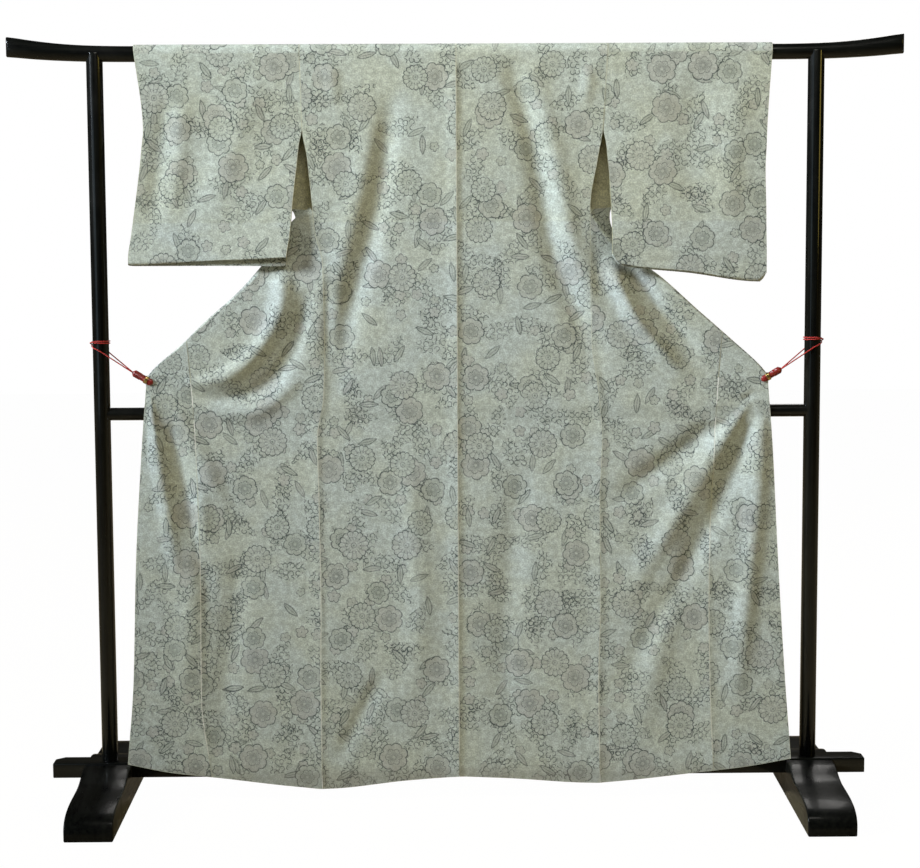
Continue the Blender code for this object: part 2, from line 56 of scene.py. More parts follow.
# %% [markdown]
# ## Camera
# A kimono on its rack is almost flat, so a long lens from about 4.8 m keeps its sides straight. The camera
# stands a little below the top bar's height and looks slightly down. Its three turns are worked into one
# matrix, because a roll of a fraction of a degree is easier to see as axes than as angles.

# %% Camera
CAMERA_AT = Vector((-0.0423, -4.7898, 1.3447))
LOOK_DOWN, LOOK_RIGHT, ROLL = (math.radians(angle) for angle in (6.6386, 0.5644, -0.2716))

ahead = Vector(
    (
        math.sin(LOOK_RIGHT) * math.cos(LOOK_DOWN),
        math.cos(LOOK_RIGHT) * math.cos(LOOK_DOWN),
        -math.sin(LOOK_DOWN),
    )
)
level = Vector((math.cos(LOOK_RIGHT), -math.sin(LOOK_RIGHT), 0.0))
upward = level.cross(ahead)
camera_right = math.cos(ROLL) * level + math.sin(ROLL) * upward
camera_up = math.cos(ROLL) * upward - math.sin(ROLL) * level
camera_data = bpy.data.cameras.new("camera")
camera_data.sensor_width = 36.0
camera_data.lens = 88.83
camera_data.clip_end = 60.0
camera = bpy.data.objects.new("camera", camera_data)
bpy.context.scene.collection.objects.link(camera)
turn = Matrix((camera_right, camera_up, -ahead)).transposed().to_4x4()
camera.matrix_world = Matrix.Translation(CAMERA_AT) @ turn
bpy.context.scene.camera = camera
print("camera:", round(camera_data.lens, 1), "mm lens,", round(CAMERA_AT.length, 2), "m from the origin")

# %% [markdown]
# ## Helpers for shaping
# Two habits keep operator modelling safe. Everything is deselected before a new primitive is added, and
# each finished piece has its place in its mesh, with its object at the origin. Short words for these two
# steps, for applying a modifier, and for reading a table of sizes along a smooth curve are used by every
# piece below.

# %% Shaping helpers
SMOOTH_ANGLE, CLOTH_SMOOTH_ANGLE = 40, 55  # degrees: an edge sharper than this stays sharp


def start():
    """Object mode, with nothing selected."""
    if bpy.context.mode != "OBJECT":
        bpy.ops.object.mode_set(mode="OBJECT")
    bpy.ops.object.select_all(action="DESELECT")


def apply_modifier(obj, kind, **settings):
    modifier = obj.modifiers.new(kind.lower(), kind)
    for key, value in settings.items():
        setattr(modifier, key, value)
    bpy.context.view_layer.objects.active = obj
    bpy.ops.object.modifier_apply(modifier=modifier.name)


def round_edges(obj, width, segments, angle=50):
    """A small bevel on the edges sharper than this angle."""
    limit = math.radians(angle)
    apply_modifier(obj, "BEVEL", width=width, segments=segments, limit_method="ANGLE", angle_limit=limit)


def declare(obj, replaced):
    """Ties a piece to the frame: what it rides on, and the node that it replaces."""
    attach(obj, "root")
    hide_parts(replaced)
    print(obj.name + ":", len(obj.data.polygons), "faces")


def complete(obj, name, material, replaced):
    start()
    obj.select_set(True)
    bpy.context.view_layer.objects.active = obj
    bpy.ops.object.transform_apply(location=True, rotation=True, scale=True)
    bpy.ops.object.shade_smooth_by_angle(angle=math.radians(SMOOTH_ANGLE))
    obj.name = name
    obj.data.name = name
    obj.data.materials.clear()
    obj.data.materials.append(material)
    declare(obj, replaced)
    return obj


def smooth(share):
    share = np.clip(share, 0.0, 1.0)
    return share * share * (3 - 2 * share)


def mix(a, b, share):
    return a + (b - a) * share


def row_of(x, y, z):
    """A row of points. Any of the three may be one number for the whole row."""
    return np.stack(np.broadcast_arrays(x, y, z), axis=1).astype(float)


def read(table, at, which, key=0):
    """Reads a table's column along a smooth curve that doesn't overshoot its rows."""
    keys = np.array([row[key] for row in table], float)
    values = np.array([row[which] for row in table], float)
    order = np.argsort(keys)
    keys, values = keys[order], values[order]
    gaps = np.diff(keys)
    slopes = np.diff(values) / gaps
    inner = np.zeros(len(keys))
    same = slopes[:-1] * slopes[1:] > 0
    inner[1:-1][same] = 2 / (1 / slopes[:-1][same] + 1 / slopes[1:][same])
    inner[0], inner[-1] = slopes[0], slopes[-1]
    at = np.clip(np.asarray(at, float), keys[0], keys[-1])
    cell = np.clip(np.searchsorted(keys, at) - 1, 0, len(gaps) - 1)
    gap = gaps[cell]
    t = (at - keys[cell]) / gap
    return (
        (2 * t**3 - 3 * t**2 + 1) * values[cell]
        + (t**3 - 2 * t**2 + t) * gap * inner[cell]
        + (3 * t**2 - 2 * t**3) * values[cell + 1]
        + (t**3 - t**2) * gap * inner[cell + 1]
    )


def soft_line(points, per_step=6):
    """More points on one smooth curve through the given ones."""
    points = np.array(points, float)
    padded = np.vstack([2 * points[0] - points[1], points, 2 * points[-1] - points[-2]])
    line = []
    for index in range(1, len(padded) - 2):
        p0, p1, p2, p3 = padded[index - 1 : index + 3]
        for t in np.arange(per_step) / per_step:
            line.append(
                0.5 * (2 * p1 + (p2 - p0) * t + (2 * p0 - 5 * p1 + 4 * p2 - p3) * t**2)
                + 0.5 * (3 * p1 - p0 - 3 * p2 + p3) * t**3
            )
    line.append(points[-1])
    return np.array(line)


print("helpers ready")

# %% [markdown]
# ## Helpers for finishes
# A printed flower is drawn with sums: a petal edge is the place where the distance from the flower's middle
# equals a wavy radius. Shader nodes do such sums, and a small class with short words keeps the wiring
# readable. Effects that several materials share become node groups with named sockets.

# %% Wiring helpers
class Wires:
    """Adds nodes to a tree. Any value may be a number or another node's output."""

    def __init__(self, tree):
        self.tree = tree

    def feed(self, socket, value):
        if isinstance(value, bpy.types.NodeSocket):
            self.tree.links.new(value, socket)
        elif hasattr(value, "__len__") and len(value) == 3 and socket.type == "RGBA":
            socket.default_value = (*value, 1.0)
        else:
            socket.default_value = value

    def node(self, kind, inputs=None, **settings):
        node = self.tree.nodes.new(kind)
        for key, value in settings.items():
            setattr(node, key, value)
        for key, value in (inputs or {}).items():
            self.feed(node.inputs[key], value)
        return node

    def sum(self, operation, *values, clamp=False):
        node = self.node("ShaderNodeMath", operation=operation, use_clamp=clamp)
        for socket, value in zip(node.inputs, values):
            self.feed(socket, value)
        return node.outputs[0]

    def plus(self, a, b):
        return self.sum("ADD", a, b)

    def minus(self, a, b):
        return self.sum("SUBTRACT", a, b)

    def times(self, a, b, clamp=False):
        return self.sum("MULTIPLY", a, b, clamp=clamp)

    def ramp(self, value, start, end, low=0.0, high=1.0):
        """Eases from low to high as value goes from start to end."""
        inputs = {"Value": value, "From Min": start, "From Max": end, "To Min": low, "To Max": high}
        return self.node("ShaderNodeMapRange", inputs, interpolation_type="SMOOTHSTEP").outputs["Result"]

    def stroke(self, distance, width):
        """1 on a drawn line of about this width, 0 away from it."""
        away = self.sum("ABSOLUTE", distance)
        return self.ramp(away, width * 0.25, width * 0.75, 1.0, 0.0)

    def colour(self, share, first, second, blend="MIX"):
        node = self.node("ShaderNodeMix", data_type="RGBA", blend_type=blend)
        self.feed(node.inputs["Factor"], share)
        self.feed(node.inputs[6], first)
        self.feed(node.inputs[7], second)
        return node.outputs[2]

    def noise(self, vector, scale, detail=2.0, roughness=0.5):
        inputs = {"Vector": vector, "Scale": scale, "Detail": detail, "Roughness": roughness}
        return self.node("ShaderNodeTexNoise", inputs).outputs["Fac"]

    def place(self, name, **inputs):
        """Places a shared node group and feeds its named sockets."""
        node = self.node("ShaderNodeGroup", node_tree=bpy.data.node_groups[name])
        for key, value in inputs.items():
            self.feed(node.inputs[key], value)
        return node.outputs


def new_group(name, inputs, outputs):
    """An empty node group with named sockets, its wires, and its input node's outputs."""
    tree = bpy.data.node_groups.new(name, "ShaderNodeTree")
    for in_out, sockets in (("INPUT", inputs), ("OUTPUT", outputs)):
        for socket, kind in sockets.items():
            tree.interface.new_socket(socket, in_out=in_out, socket_type=f"NodeSocket{kind}")
    wires = Wires(tree)
    given = tree.nodes.new("NodeGroupInput").outputs
    results = tree.nodes.new("NodeGroupOutput").inputs
    return wires, given, results


def new_material(name, **constants):
    """A material with a Principled shader whose plain numbers are set on its own sockets."""
    material = bpy.data.materials.new(name)
    material.use_nodes = True
    wires = Wires(material.node_tree)
    shader = material.node_tree.nodes["Principled BSDF"]
    for key, value in constants.items():
        wires.feed(shader.inputs[key.replace("_", " ")], value)
    return material, wires, shader.inputs


print("wiring ready")

# %% [markdown]
# ## Light and floor
# Silk shows its folds through the colour of its light. A cool key far to the left catches the faces that
# turn that way, and its narrow spread lets it fade towards the hem. A weak warm light from the right turns
# the other faces yellow, two soft lights open the shadows in front, and one lights the far side. To the
# camera alone the world and the floor glow white, as a photographer's lit sweep does, so that the black
# lacquer stays black.

# %% Light and floor
def add_light(name, at, aim, size, energy, colour, spread=180.0):
    data = bpy.data.lights.new(name, "AREA")
    data.spread = math.radians(spread)
    data.shape = "RECTANGLE"
    data.size, data.size_y = size
    data.energy = energy
    data.color = colour
    light = bpy.data.objects.new(name, data)
    light.location = at
    light.rotation_euler = (Vector(aim) - Vector(at)).to_track_quat("-Z", "Y").to_euler()
    bpy.context.scene.collection.objects.link(light)


# Columns: name, place, what it points at, size, power, colour
add_light("key_cool", (-8.0, -2.9, 5.0), (0.0, 0.0, 1.66), (2.2, 2.2), 51.0, (0.81, 0.91, 1.0), spread=31.0)
add_light("fill_warm", (5.0, -2.4, 2.6), (0.0, 0.0, 1.6), (1.6, 1.6), 4.2, (1.0, 0.77, 0.18), spread=60.0)
add_light("window_cool", (-3.6, -3.9, 1.7), (0.0, 0.0, 1.2), (2.2, 2.8), 12.5, (0.66, 0.88, 1.0))
add_light("front_soft", (0.2, -1.9, 3.3), (0.0, 0.0, 1.4), (1.6, 0.8), 21.0, (1.0, 0.98, 0.88))
add_light("far_soft", (0.5, 3.6, 3.2), (0.0, 0.0, 1.0), (3.0, 2.0), 60.0, (1.0, 0.98, 0.95))

FLOOR_NEAR, FLOOR_FAR = -9.0, 9.0
FLOOR_SHADED, FLOOR_PALE = (0.46, 0.37, 0.22), (0.52, 0.42, 0.26)
FLOOR_GLOW = 0.96  # share of glow in the floor, for the camera alone
ROOM_LIGHT, ROOM_MIRRORED = 0.10, 0.02  # the world's strength on matt faces, and as glossy faces mirror it
world = bpy.data.worlds.new("pale_room")
world.use_nodes = True
bpy.context.scene.world = world
world_wires = Wires(world.node_tree)
sky = world.node_tree.nodes["Background"]
seen = world_wires.node("ShaderNodeLightPath").outputs["Is Camera Ray"]
world_wires.feed(sky.inputs["Color"], world_wires.colour(seen, (1.0, 0.91, 0.64), (1.0, 1.0, 1.0)))
mirrored = world_wires.node("ShaderNodeLightPath").outputs["Is Glossy Ray"]
room = world_wires.ramp(mirrored, 0.0, 1.0, ROOM_LIGHT, ROOM_MIRRORED)
world_wires.feed(sky.inputs["Strength"], world_wires.sum("MAXIMUM", seen, room))

start()
bpy.ops.mesh.primitive_plane_add(size=2.0, location=(0.0, 0.0, 0.0))
floor = bpy.context.active_object
floor.name = "floor"
floor.scale = (12.0, (FLOOR_FAR - FLOOR_NEAR) / 2, 1.0)
floor.location = (0.0, (FLOOR_FAR + FLOOR_NEAR) / 2, 0.0)
bpy.ops.object.transform_apply(location=True, rotation=True, scale=True)
floor_material, floor_wires, floor_inputs = new_material("pale_floor", Roughness=0.7)
floor_place = floor_wires.node("ShaderNodeTexCoord").outputs["Object"]
uneven = floor_wires.colour(floor_wires.noise(floor_place, 1.5), FLOOR_SHADED, FLOOR_PALE)
floor_wires.feed(floor_inputs["Base Color"], uneven)
lit = floor_wires.node("ShaderNodeEmission", {"Color": (1.0, 1.0, 1.0), "Strength": 1.03})
both = floor_wires.node("ShaderNodeMixShader")
floor_seen = floor_wires.node("ShaderNodeLightPath").outputs["Is Camera Ray"]
floor_wires.feed(both.inputs["Fac"], floor_wires.times(floor_seen, FLOOR_GLOW))
floor_wires.feed(both.inputs[1], floor_material.node_tree.nodes["Principled BSDF"].outputs[0])
floor_wires.feed(both.inputs[2], lit.outputs[0])
floor_wires.feed(floor_material.node_tree.nodes["Material Output"].inputs["Surface"], both.outputs[0])
floor.data.materials.append(floor_material)
bpy.context.scene.view_settings.view_transform = "Standard"
print("floor and five lights")

# %% [markdown]
# ## The rack's sizes
# The rack is seven lacquered pieces. These sizes are the ones that the frame was made with, in metres, and
# the cloth and the ties need them too.

# %% Sizes of the rack
BAR_Z = 1.587
BAR_HALF_DEPTH = 0.0150
BAR_END_SLANT = 0.005  # how much further out the top of an end face reaches than its middle
POST_X = 0.7525
POST_RADIUS = 0.0172
RAIL_Z = 0.834
RAIL_RADIUS = 0.0135
BEAM_HALF_LENGTH, BEAM_HALF_DEPTH = 0.872, 0.028
BEAM_BOTTOM, BEAM_TOP, BEAM_CHAMFER = 0.052, 0.084, 0.018
FOOT_WIDTH = 0.100
FIT_GAP = 0.0003
# The top bar. Columns: x, rise of the middle, half height
TOP_BAR = (
    (0.00, 0.0000, 0.0165),
    (0.68, 0.0000, 0.0165),
    (0.76, 0.0012, 0.0168),
    (0.82, 0.0040, 0.0176),
    (0.88, 0.0092, 0.0192),
    (0.93, 0.0155, 0.0208),
)
# Top of a foot. Columns: distance from the middle, height
FOOT_TOP = (
    (0.058, 0.0805), (0.080, 0.0770), (0.115, 0.0665), (0.150, 0.0615), (0.235, 0.0590),
    (0.285, 0.0535), (0.312, 0.0450), (0.325, 0.0330), (0.330, 0.0150),
)
print("rack is", round(2 * TOP_BAR[-1][0], 3), "m wide at its top bar")

# %% [markdown]
# ## The cloth's measures
# A kimono is cut from one narrow bolt in straight strips. Each side of the body is one strip: it starts at
# the back's hem, passes over the shoulder without a seam and comes down the front. Here it is turned round
# at the armpit, so that its lower half comes back beside the back. The tables give the lines of seams,
# edges and folds for the left and right sides.

# %% Tables of the cloth
WALL = 0.0012
SEAM_GAP = 0.0004
NECK_HALF = 0.092  # half width of the neck opening
CREST_DEPTH, CREST_HEIGHT = 0.0172, 0.0187  # how the cloth rounds the bar
# Half width of the back. Columns: z, left, right
SIDE_LINE = (
    (0.04, 0.294, 0.302), (0.26, 0.295, 0.299), (0.43, 0.293, 0.303), (0.65, 0.295, 0.302),
    (0.78, 0.297, 0.307), (0.87, 0.283, 0.300), (0.98, 0.280, 0.285), (1.15, 0.282, 0.282),
    (1.22, 0.298, 0.2805), (1.27, 0.3025, 0.2800), (1.37, 0.312, 0.296), (1.43, 0.3215, 0.306),
    (1.60, 0.3255, 0.316),
)
# Seam between front and gore, then the free front edge. Columns: z, left, right
GORE_SEAM = ((0.055, 0.530, 0.546), (0.222, 0.550, 0.538), (0.50, 0.546, 0.532), (0.79, 0.542, 0.533))
FRONT_EDGE = (
    (0.085, 0.710, 0.712), (0.26, 0.695, 0.698), (0.52, 0.686, 0.682), (0.78, 0.671, 0.670),
    (0.89, 0.663, 0.663),
)
# Height of the hem. Columns: distance from the centre seam, left, right
HEM = (
    (0.00, 0.052, 0.052), (0.11, 0.044, 0.047), (0.29, 0.027, 0.036), (0.34, 0.031, 0.039),
    (0.53, 0.054, 0.059), (0.61, 0.063, 0.068), (0.715, 0.084, 0.086),
)
# Where each front turns back. Columns: share of the line, left x, left z, right x, right z
FOLD_LINE = (
    (0.00, 0.307, 1.268, 0.283, 1.264), (0.10, 0.344, 1.240, 0.313, 1.215),
    (0.30, 0.407, 1.150, 0.365, 1.165), (0.45, 0.460, 1.091, 0.425, 1.122),
    (0.62, 0.527, 1.032, 0.508, 1.048), (0.75, 0.583, 0.979, 0.574, 0.990),
    (0.92, 0.640, 0.930, 0.640, 0.930), (1.00, 0.658, 0.908, 0.658, 0.908),
)
GORE_SHARE = 0.72  # share of the fold line that the front takes, before the gore
# Upper front on the far side. An outer x of 0 stands for the side line.
# Columns: inner x, inner z, outer x, outer z, inner y, outer y
FAR_FRONT = (
    (0.092, 1.587, 0.0, 1.587, 0.0172, 0.0172),
    (0.128, 1.510, 0.0, 1.510, 0.0185, 0.0185),
    (0.165, 1.430, 0.0, 1.432, 0.0190, 0.0190),
    (0.220, 1.330, 0.350, 1.368, 0.0180, 0.0165),
    (0.290, 1.225, 0.351, 1.268, 0.0150, 0.0120),
    (0.400, 1.108, 0.312, 1.262, 0.0080, 0.0060),
)
RIGHT_ARMHOLE_SHIFT = 0.022  # the right armhole lies this much nearer the middle
# Edge of the gore where the collar is sewn. Columns: share, x, z
GORE_FAR_EDGE = ((0.0, 0.4010, 1.1070), (0.4, 0.500, 1.014), (0.75, 0.583, 0.940), (1.0, 0.640, 0.893))
GORE_FAR_DEPTH = (0.0075, -0.0125)  # y of that edge at its two ends
# Neck seam. Columns: x, y, z
NECK_LINE = ((0.0, 0.0162, 1.5958), (0.040, 0.0162, 1.5956), (0.070, 0.0166, 1.5925), (0.090, 0.0176, 1.5830))
# Sleeve edges. Columns: z, left inner, left outer, right inner, right outer
SLEEVE_EDGES = (
    (1.11, 0.357, 0.689, 0.331, 0.650), (1.165, 0.356, 0.688, 0.325, 0.650),
    (1.21, 0.349, 0.681, 0.325, 0.649), (1.27, 0.343, 0.672, 0.323, 0.648),
    (1.34, 0.335, 0.662, 0.318, 0.646), (1.40, 0.328, 0.655, 0.312, 0.648),
    (1.43, 0.3221, 0.652, 0.3066, 0.649), (1.60, 0.3261, 0.670, 0.3166, 0.659),
)
# Sleeve bottoms. Columns: share from the inner edge, left near z, left far z, right near z, right far z
SLEEVE_BOTTOM = (
    (0.00, 1.166, 1.149, 1.170, 1.168), (0.04, 1.165, 1.147, 1.150, 1.146),
    (0.50, 1.159, 1.148, 1.132, 1.128), (0.96, 1.152, 1.148, 1.112, 1.109),
    (1.00, 1.152, 1.149, 1.130, 1.128),
)
# Depth of the sleeve's layers. Columns: z, near inner, near outer, far inner, far outer
SLEEVE_DEPTH = (
    (1.11, -0.0420, -0.0235, -0.0290, -0.0185), (1.24, -0.0360, -0.0225, -0.0220, -0.0175),
    (1.30, -0.0300, -0.0218, -0.0100, -0.0165), (1.36, -0.0240, -0.0210, 0.0050, -0.0120),
    (1.40, -0.0200, -0.0200, 0.0150, 0.0100), (1.43, -0.0178, -0.0185, 0.0190, 0.0170),
    (1.587, -0.0172, -0.0172, 0.0172, 0.0172),
)
# Depth of the near surface where it hangs plain. Columns: z, y
NEAR_DEPTH = (
    (0.03, -0.0370), (0.10, -0.0350), (0.45, -0.0245), (0.834, -0.0166), (1.20, -0.0195), (1.587, -0.0172),
)
# The fronts' upper corners lie further back, behind the sleeves. Columns: x, z, radius, depth
SET_BACK = ((-0.385, 1.185, 0.050, 0.0150), (0.372, 1.180, 0.050, 0.0150))
CLIP_POINT = (0.650, 0.905)  # x and z of the clips' grip
print("tables for", len(SIDE_LINE) + len(FOLD_LINE) + len(SLEEVE_EDGES), "stations of the outline")

# %% [markdown]
# ## Creases
# Soft folds run down the back from the shoulders, and tight ones fan out from the two clips. Each crease is
# a short line of points with a half width and a height: positive is a ridge towards us, negative a trough.
# They are placed one by one, uneven in length and depth, because simulated cloth would fold elsewhere
# each time.

# %% Creases
# Columns: points (x, z), half width, height
CREASES = (
    (
        ((0.116, 1.560), (0.154, 1.447), (0.181, 1.302), (0.210, 1.156),
         (0.269, 1.008), (0.314, 0.860)), 0.026, -0.0075,
    ),
    (((0.150, 1.540), (0.200, 1.380), (0.232, 1.220), (0.290, 1.060), (0.380, 0.940)), 0.024, 0.0050),
    (
        ((-0.138, 1.470), (-0.160, 1.304), (-0.190, 1.179), (-0.225, 1.053),
         (-0.252, 0.927), (-0.270, 0.821)), 0.024, -0.0065,
    ),
    (((-0.180, 1.420), (-0.215, 1.260), (-0.250, 1.120), (-0.275, 0.980)), 0.022, 0.0030),
    (((-0.271, 1.095), (-0.279, 0.906)), 0.014, -0.0035),
    (
        ((-0.365, 1.138), (-0.372, 1.054), (-0.411, 0.981), (-0.469, 0.924),
         (-0.543, 0.901), (-0.631, 0.906)), 0.019, 0.0082,
    ),
    (((-0.319, 1.075), (-0.348, 0.970), (-0.406, 0.896), (-0.491, 0.865), (-0.596, 0.882)), 0.017, -0.0060),
    (((-0.345, 0.900), (-0.430, 0.835), (-0.560, 0.850)), 0.016, 0.0035),
    (((-0.648, 0.876), (-0.634, 0.738), (-0.608, 0.567), (-0.590, 0.430)), 0.016, 0.0060),
    (((-0.622, 0.853), (-0.579, 0.674), (-0.550, 0.523), (-0.530, 0.380)), 0.018, -0.0062),
    (((-0.590, 0.840), (-0.530, 0.720), (-0.480, 0.590)), 0.018, 0.0035),
    (((0.325, 1.134), (0.385, 1.018), (0.491, 0.901)), 0.018, 0.0110),
    (((0.367, 1.138), (0.427, 1.050), (0.522, 0.944)), 0.016, -0.0070),
    (((0.629, 0.875), (0.492, 0.763), (0.365, 0.668), (0.300, 0.630)), 0.022, -0.0066),
    (((0.608, 0.848), (0.524, 0.710), (0.408, 0.517), (0.340, 0.400)), 0.024, 0.0062),
    (((0.623, 0.837), (0.567, 0.666), (0.494, 0.516), (0.398, 0.343), (0.340, 0.230)), 0.024, -0.0062),
    (((0.644, 0.816), (0.631, 0.602), (0.605, 0.342), (0.590, 0.150)), 0.022, 0.0062),
    (((-0.169, 0.260), (-0.268, 0.075)), 0.018, -0.0040),
    (((0.472, 0.516), (0.410, 0.256), (0.378, 0.081)), 0.030, 0.0040),
    (((-0.465, 0.523), (-0.501, 0.219), (-0.510, 0.065)), 0.026, -0.0035),
    (((-0.536, 0.695), (-0.573, 0.394), (-0.589, 0.132)), 0.026, 0.0040),
    (((0.131, 0.691), (0.099, 0.346), (0.109, 0.083)), 0.030, -0.0035),
    (((-0.102, 0.713), (-0.083, 0.390), (-0.127, 0.128)), 0.030, 0.0035),
    (((-0.261, 1.560), (-0.252, 1.470)), 0.014, 0.0025),
    (((0.278, 1.560), (0.268, 1.467)), 0.014, 0.0025),
)
# Creases of the sleeves, and of the fronts' far side
SLEEVE_CREASES = (
    (((-0.605, 1.471), (-0.623, 1.327), (-0.652, 1.202)), 0.020, -0.0045),
    (((-0.428, 1.511), (-0.483, 1.347), (-0.537, 1.201)), 0.035, 0.0045),
    (((-0.570, 1.480), (-0.580, 1.350), (-0.600, 1.220)), 0.020, 0.0040),
    (((0.507, 1.528), (0.488, 1.363), (0.510, 1.196)), 0.035, -0.0040),
    (((0.590, 1.500), (0.575, 1.340), (0.590, 1.180)), 0.030, 0.0035),
)
FAR_CREASES = (
    (((0.190, 1.520), (0.235, 1.380), (0.300, 1.270)), 0.020, 0.0040),
    (((0.270, 1.500), (0.280, 1.400), (0.310, 1.310)), 0.018, -0.0035),
    (((-0.175, 1.540), (-0.240, 1.390), (-0.290, 1.290)), 0.020, 0.0045),
    (((-0.250, 1.520), (-0.290, 1.380)), 0.018, -0.0030),
)


def crease_height(x, z, creases, narrow=1.0):
    """Sum of the creases' heights at many places at once. narrow scales their widths there."""
    total = np.zeros(np.shape(x))
    for points, half_width, height in creases:
        line = soft_line(points, 4)
        steps = np.hypot(*np.diff(line, axis=0).T)
        nearest = np.full(np.shape(x), 9.0)
        along = np.zeros(np.shape(x))
        run = 0.0
        for start_point, end_point, length in zip(line, line[1:], steps):
            step_x, step_z = end_point - start_point
            share = np.clip(((x - start_point[0]) * step_x + (z - start_point[1]) * step_z) / length**2, 0, 1)
            away = np.hypot(x - start_point[0] - share * step_x, z - start_point[1] - share * step_z)
            closer = away < nearest
            nearest = np.where(closer, away, nearest)
            along = np.where(closer, (run + share * length) / steps.sum(), along)
            run += length
        fade = smooth(5.0 * (along + 0.10)) * smooth(2.2 * (1.04 - along))  # quick to rise, slow to die away
        total += height * np.exp(-((nearest / half_width / narrow) ** 2)) * fade
    return total


print(len(CREASES) + len(SLEEVE_CREASES) + len(FAR_CREASES), "creases")

# %% [markdown]
# ## The near surface
# Back, turned-out fronts and gores all lie in one surface, so one function gives its depth at any place.
# Pieces that ask the same function meet at their seams. A sewn seam stands up a little on its left and
# drops on its right, where the allowance is pressed to one side. The rail and the beam hold the cloth off.

# %% Depth of the near surface
SEAM_RIDGE, SIDE_RIDGE, GORE_RIDGE = 0.0030, 0.0018, 0.0014
# What holds the cloth off. Columns: height, half size, y of the cloth in front of it
RAIL_HOLD, BEAM_HOLD = (RAIL_Z, 0.022, -0.0156), (0.068, 0.040, -0.0305)
CREASE_DEPTH = 1.4  # raises every crease of the table alike
GATHER = 0.17  # nearer than this to a clip, creases run together and grow narrower


def seam_relief(away, height):
    """A pressed seam: a long slope before it and a short drop after it."""
    return height * np.where(away < 0, np.exp(-((away / 0.016) ** 2)), np.exp(-((away / 0.007) ** 2)))


def held_depth(depth, z, height, half_size, limit):
    """Keeps the surface in front of a bar at this height, easing back to its own depth above and below."""
    free = np.clip(np.abs(z - height) - half_size, 0.0, None)
    ceiling = limit + 0.6 * free
    over = depth - ceiling
    return ceiling + np.minimum(over, 0.0) - 0.0004 * np.exp(-np.abs(over) / 0.0012)


def near_depth(x, z):
    x, z = np.asarray(x, float), np.asarray(z, float)
    depth = read(NEAR_DEPTH, z, 1)
    for back_x, back_z, radius, back in SET_BACK:
        depth = depth + back * np.exp(-((x - back_x) ** 2 + (z - back_z) ** 2) / (2 * radius**2))
    pinch = np.hypot(np.abs(x) - CLIP_POINT[0], z - CLIP_POINT[1])
    narrow = np.clip(pinch / GATHER, 0.3, 1.0)
    relief = CREASE_DEPTH * crease_height(x, z, CREASES, narrow) * smooth(pinch / 0.07) * np.sqrt(narrow)
    relief = relief + seam_relief(x, SEAM_RIDGE)
    for side, _, sign in SIDES:
        away = x - sign * read(SIDE_LINE, z, 1 + side)
        relief = relief + seam_relief(away, SIDE_RIDGE) * smooth((1.25 - z) / 0.10)
        away = x - sign * read(GORE_SEAM, z, 1 + side)
        relief = relief + seam_relief(away, GORE_RIDGE) * smooth((0.80 - z) / 0.20)
    depth = depth - relief * smooth((BAR_Z - z) / 0.05)
    return held_depth(held_depth(depth, z, *RAIL_HOLD), z, *BEAM_HOLD)


print("plain depth at the rail:", round(float(near_depth(0.05, RAIL_Z)), 4), "m")

# %% [markdown]
# ## A sheet from rows of points
# Each piece of cloth is a grid of points in rows from edge to edge. The builder below makes its quads, a UV
# map in metres so that the print keeps its size, and an attribute that holds the distance to the nearest
# cut edge, which the material uses for a painted highlight line along the edge. Solidify gives the wall,
# with the cloth's plain inner side as its second material.

# %% Sheet builder
def step_lengths(grid, axis):
    """Distances run along a grid, from its first row or column to each point."""
    steps = np.linalg.norm(np.diff(grid, axis=axis), axis=2)
    steps = np.nan_to_num(steps)
    run = np.cumsum(steps, axis=axis)
    return np.concatenate([np.zeros_like(np.take(run, [0], axis=axis)), run], axis=axis)


def edge_distance(grid, closed):
    across = step_lengths(grid, 1)
    nearest = np.minimum(across, across[:, -1:] - across)
    if not closed:
        down = step_lengths(grid, 0)
        nearest = np.minimum(nearest, np.minimum(down, down[-1:] - down))
    return nearest


def sheet_object(name, grid, uv_for, facing, closed=False, wall=WALL):
    """A cloth sheet. uv_for(row) gives the UV rows that the band of faces above that row uses."""
    rows, columns, _ = grid.shape
    used = ~np.isnan(grid[:, :, 0])
    index = np.full((rows, columns), -1)
    index[used] = np.arange(used.sum())
    faces, bands = [], []
    for row in range(rows if closed else rows - 1):
        above = (row + 1) % rows
        for column in range(columns - 1):
            corners = [(row, column), (row, column + 1), (above, column + 1), (above, column)]
            if all(used[corner] for corner in corners):
                faces.append([int(index[corner]) for corner in corners])
                bands.append((row, corners))
    mesh = bpy.data.meshes.new(name)
    mesh.from_pydata(grid[used].tolist(), [], faces)
    uv_map = mesh.uv_layers.new(name="cloth")
    values = []
    for row, corners in bands:
        low, high = uv_for(row)
        for corner_row, corner_column in corners:
            values.extend(low[corner_column] if corner_row == row else high[corner_column])
    uv_map.data.foreach_set("uv", np.array(values, np.float32))
    edge = mesh.attributes.new("edge", "FLOAT", "POINT")
    edge.data.foreach_set("value", edge_distance(grid, closed)[used].astype(np.float32))
    mesh.update()
    middle = mesh.polygons[len(mesh.polygons) // 50]
    if middle.normal.dot(Vector(facing)) < 0:
        mesh.flip_normals()
    obj = bpy.data.objects.new(name, mesh)
    bpy.context.scene.collection.objects.link(obj)
    mesh.materials.append(bpy.data.materials["silk_outside"])
    mesh.materials.append(bpy.data.materials["silk_inside"])
    start()
    obj.select_set(True)
    apply_modifier(obj, "SOLIDIFY", thickness=wall, offset=0.0, material_offset=1, use_even_offset=False)
    bpy.ops.object.shade_smooth_by_angle(angle=math.radians(CLOTH_SMOOTH_ANGLE))
    declare(obj, name.replace("cloth_", ""))
    return obj


print("sheet builder ready")

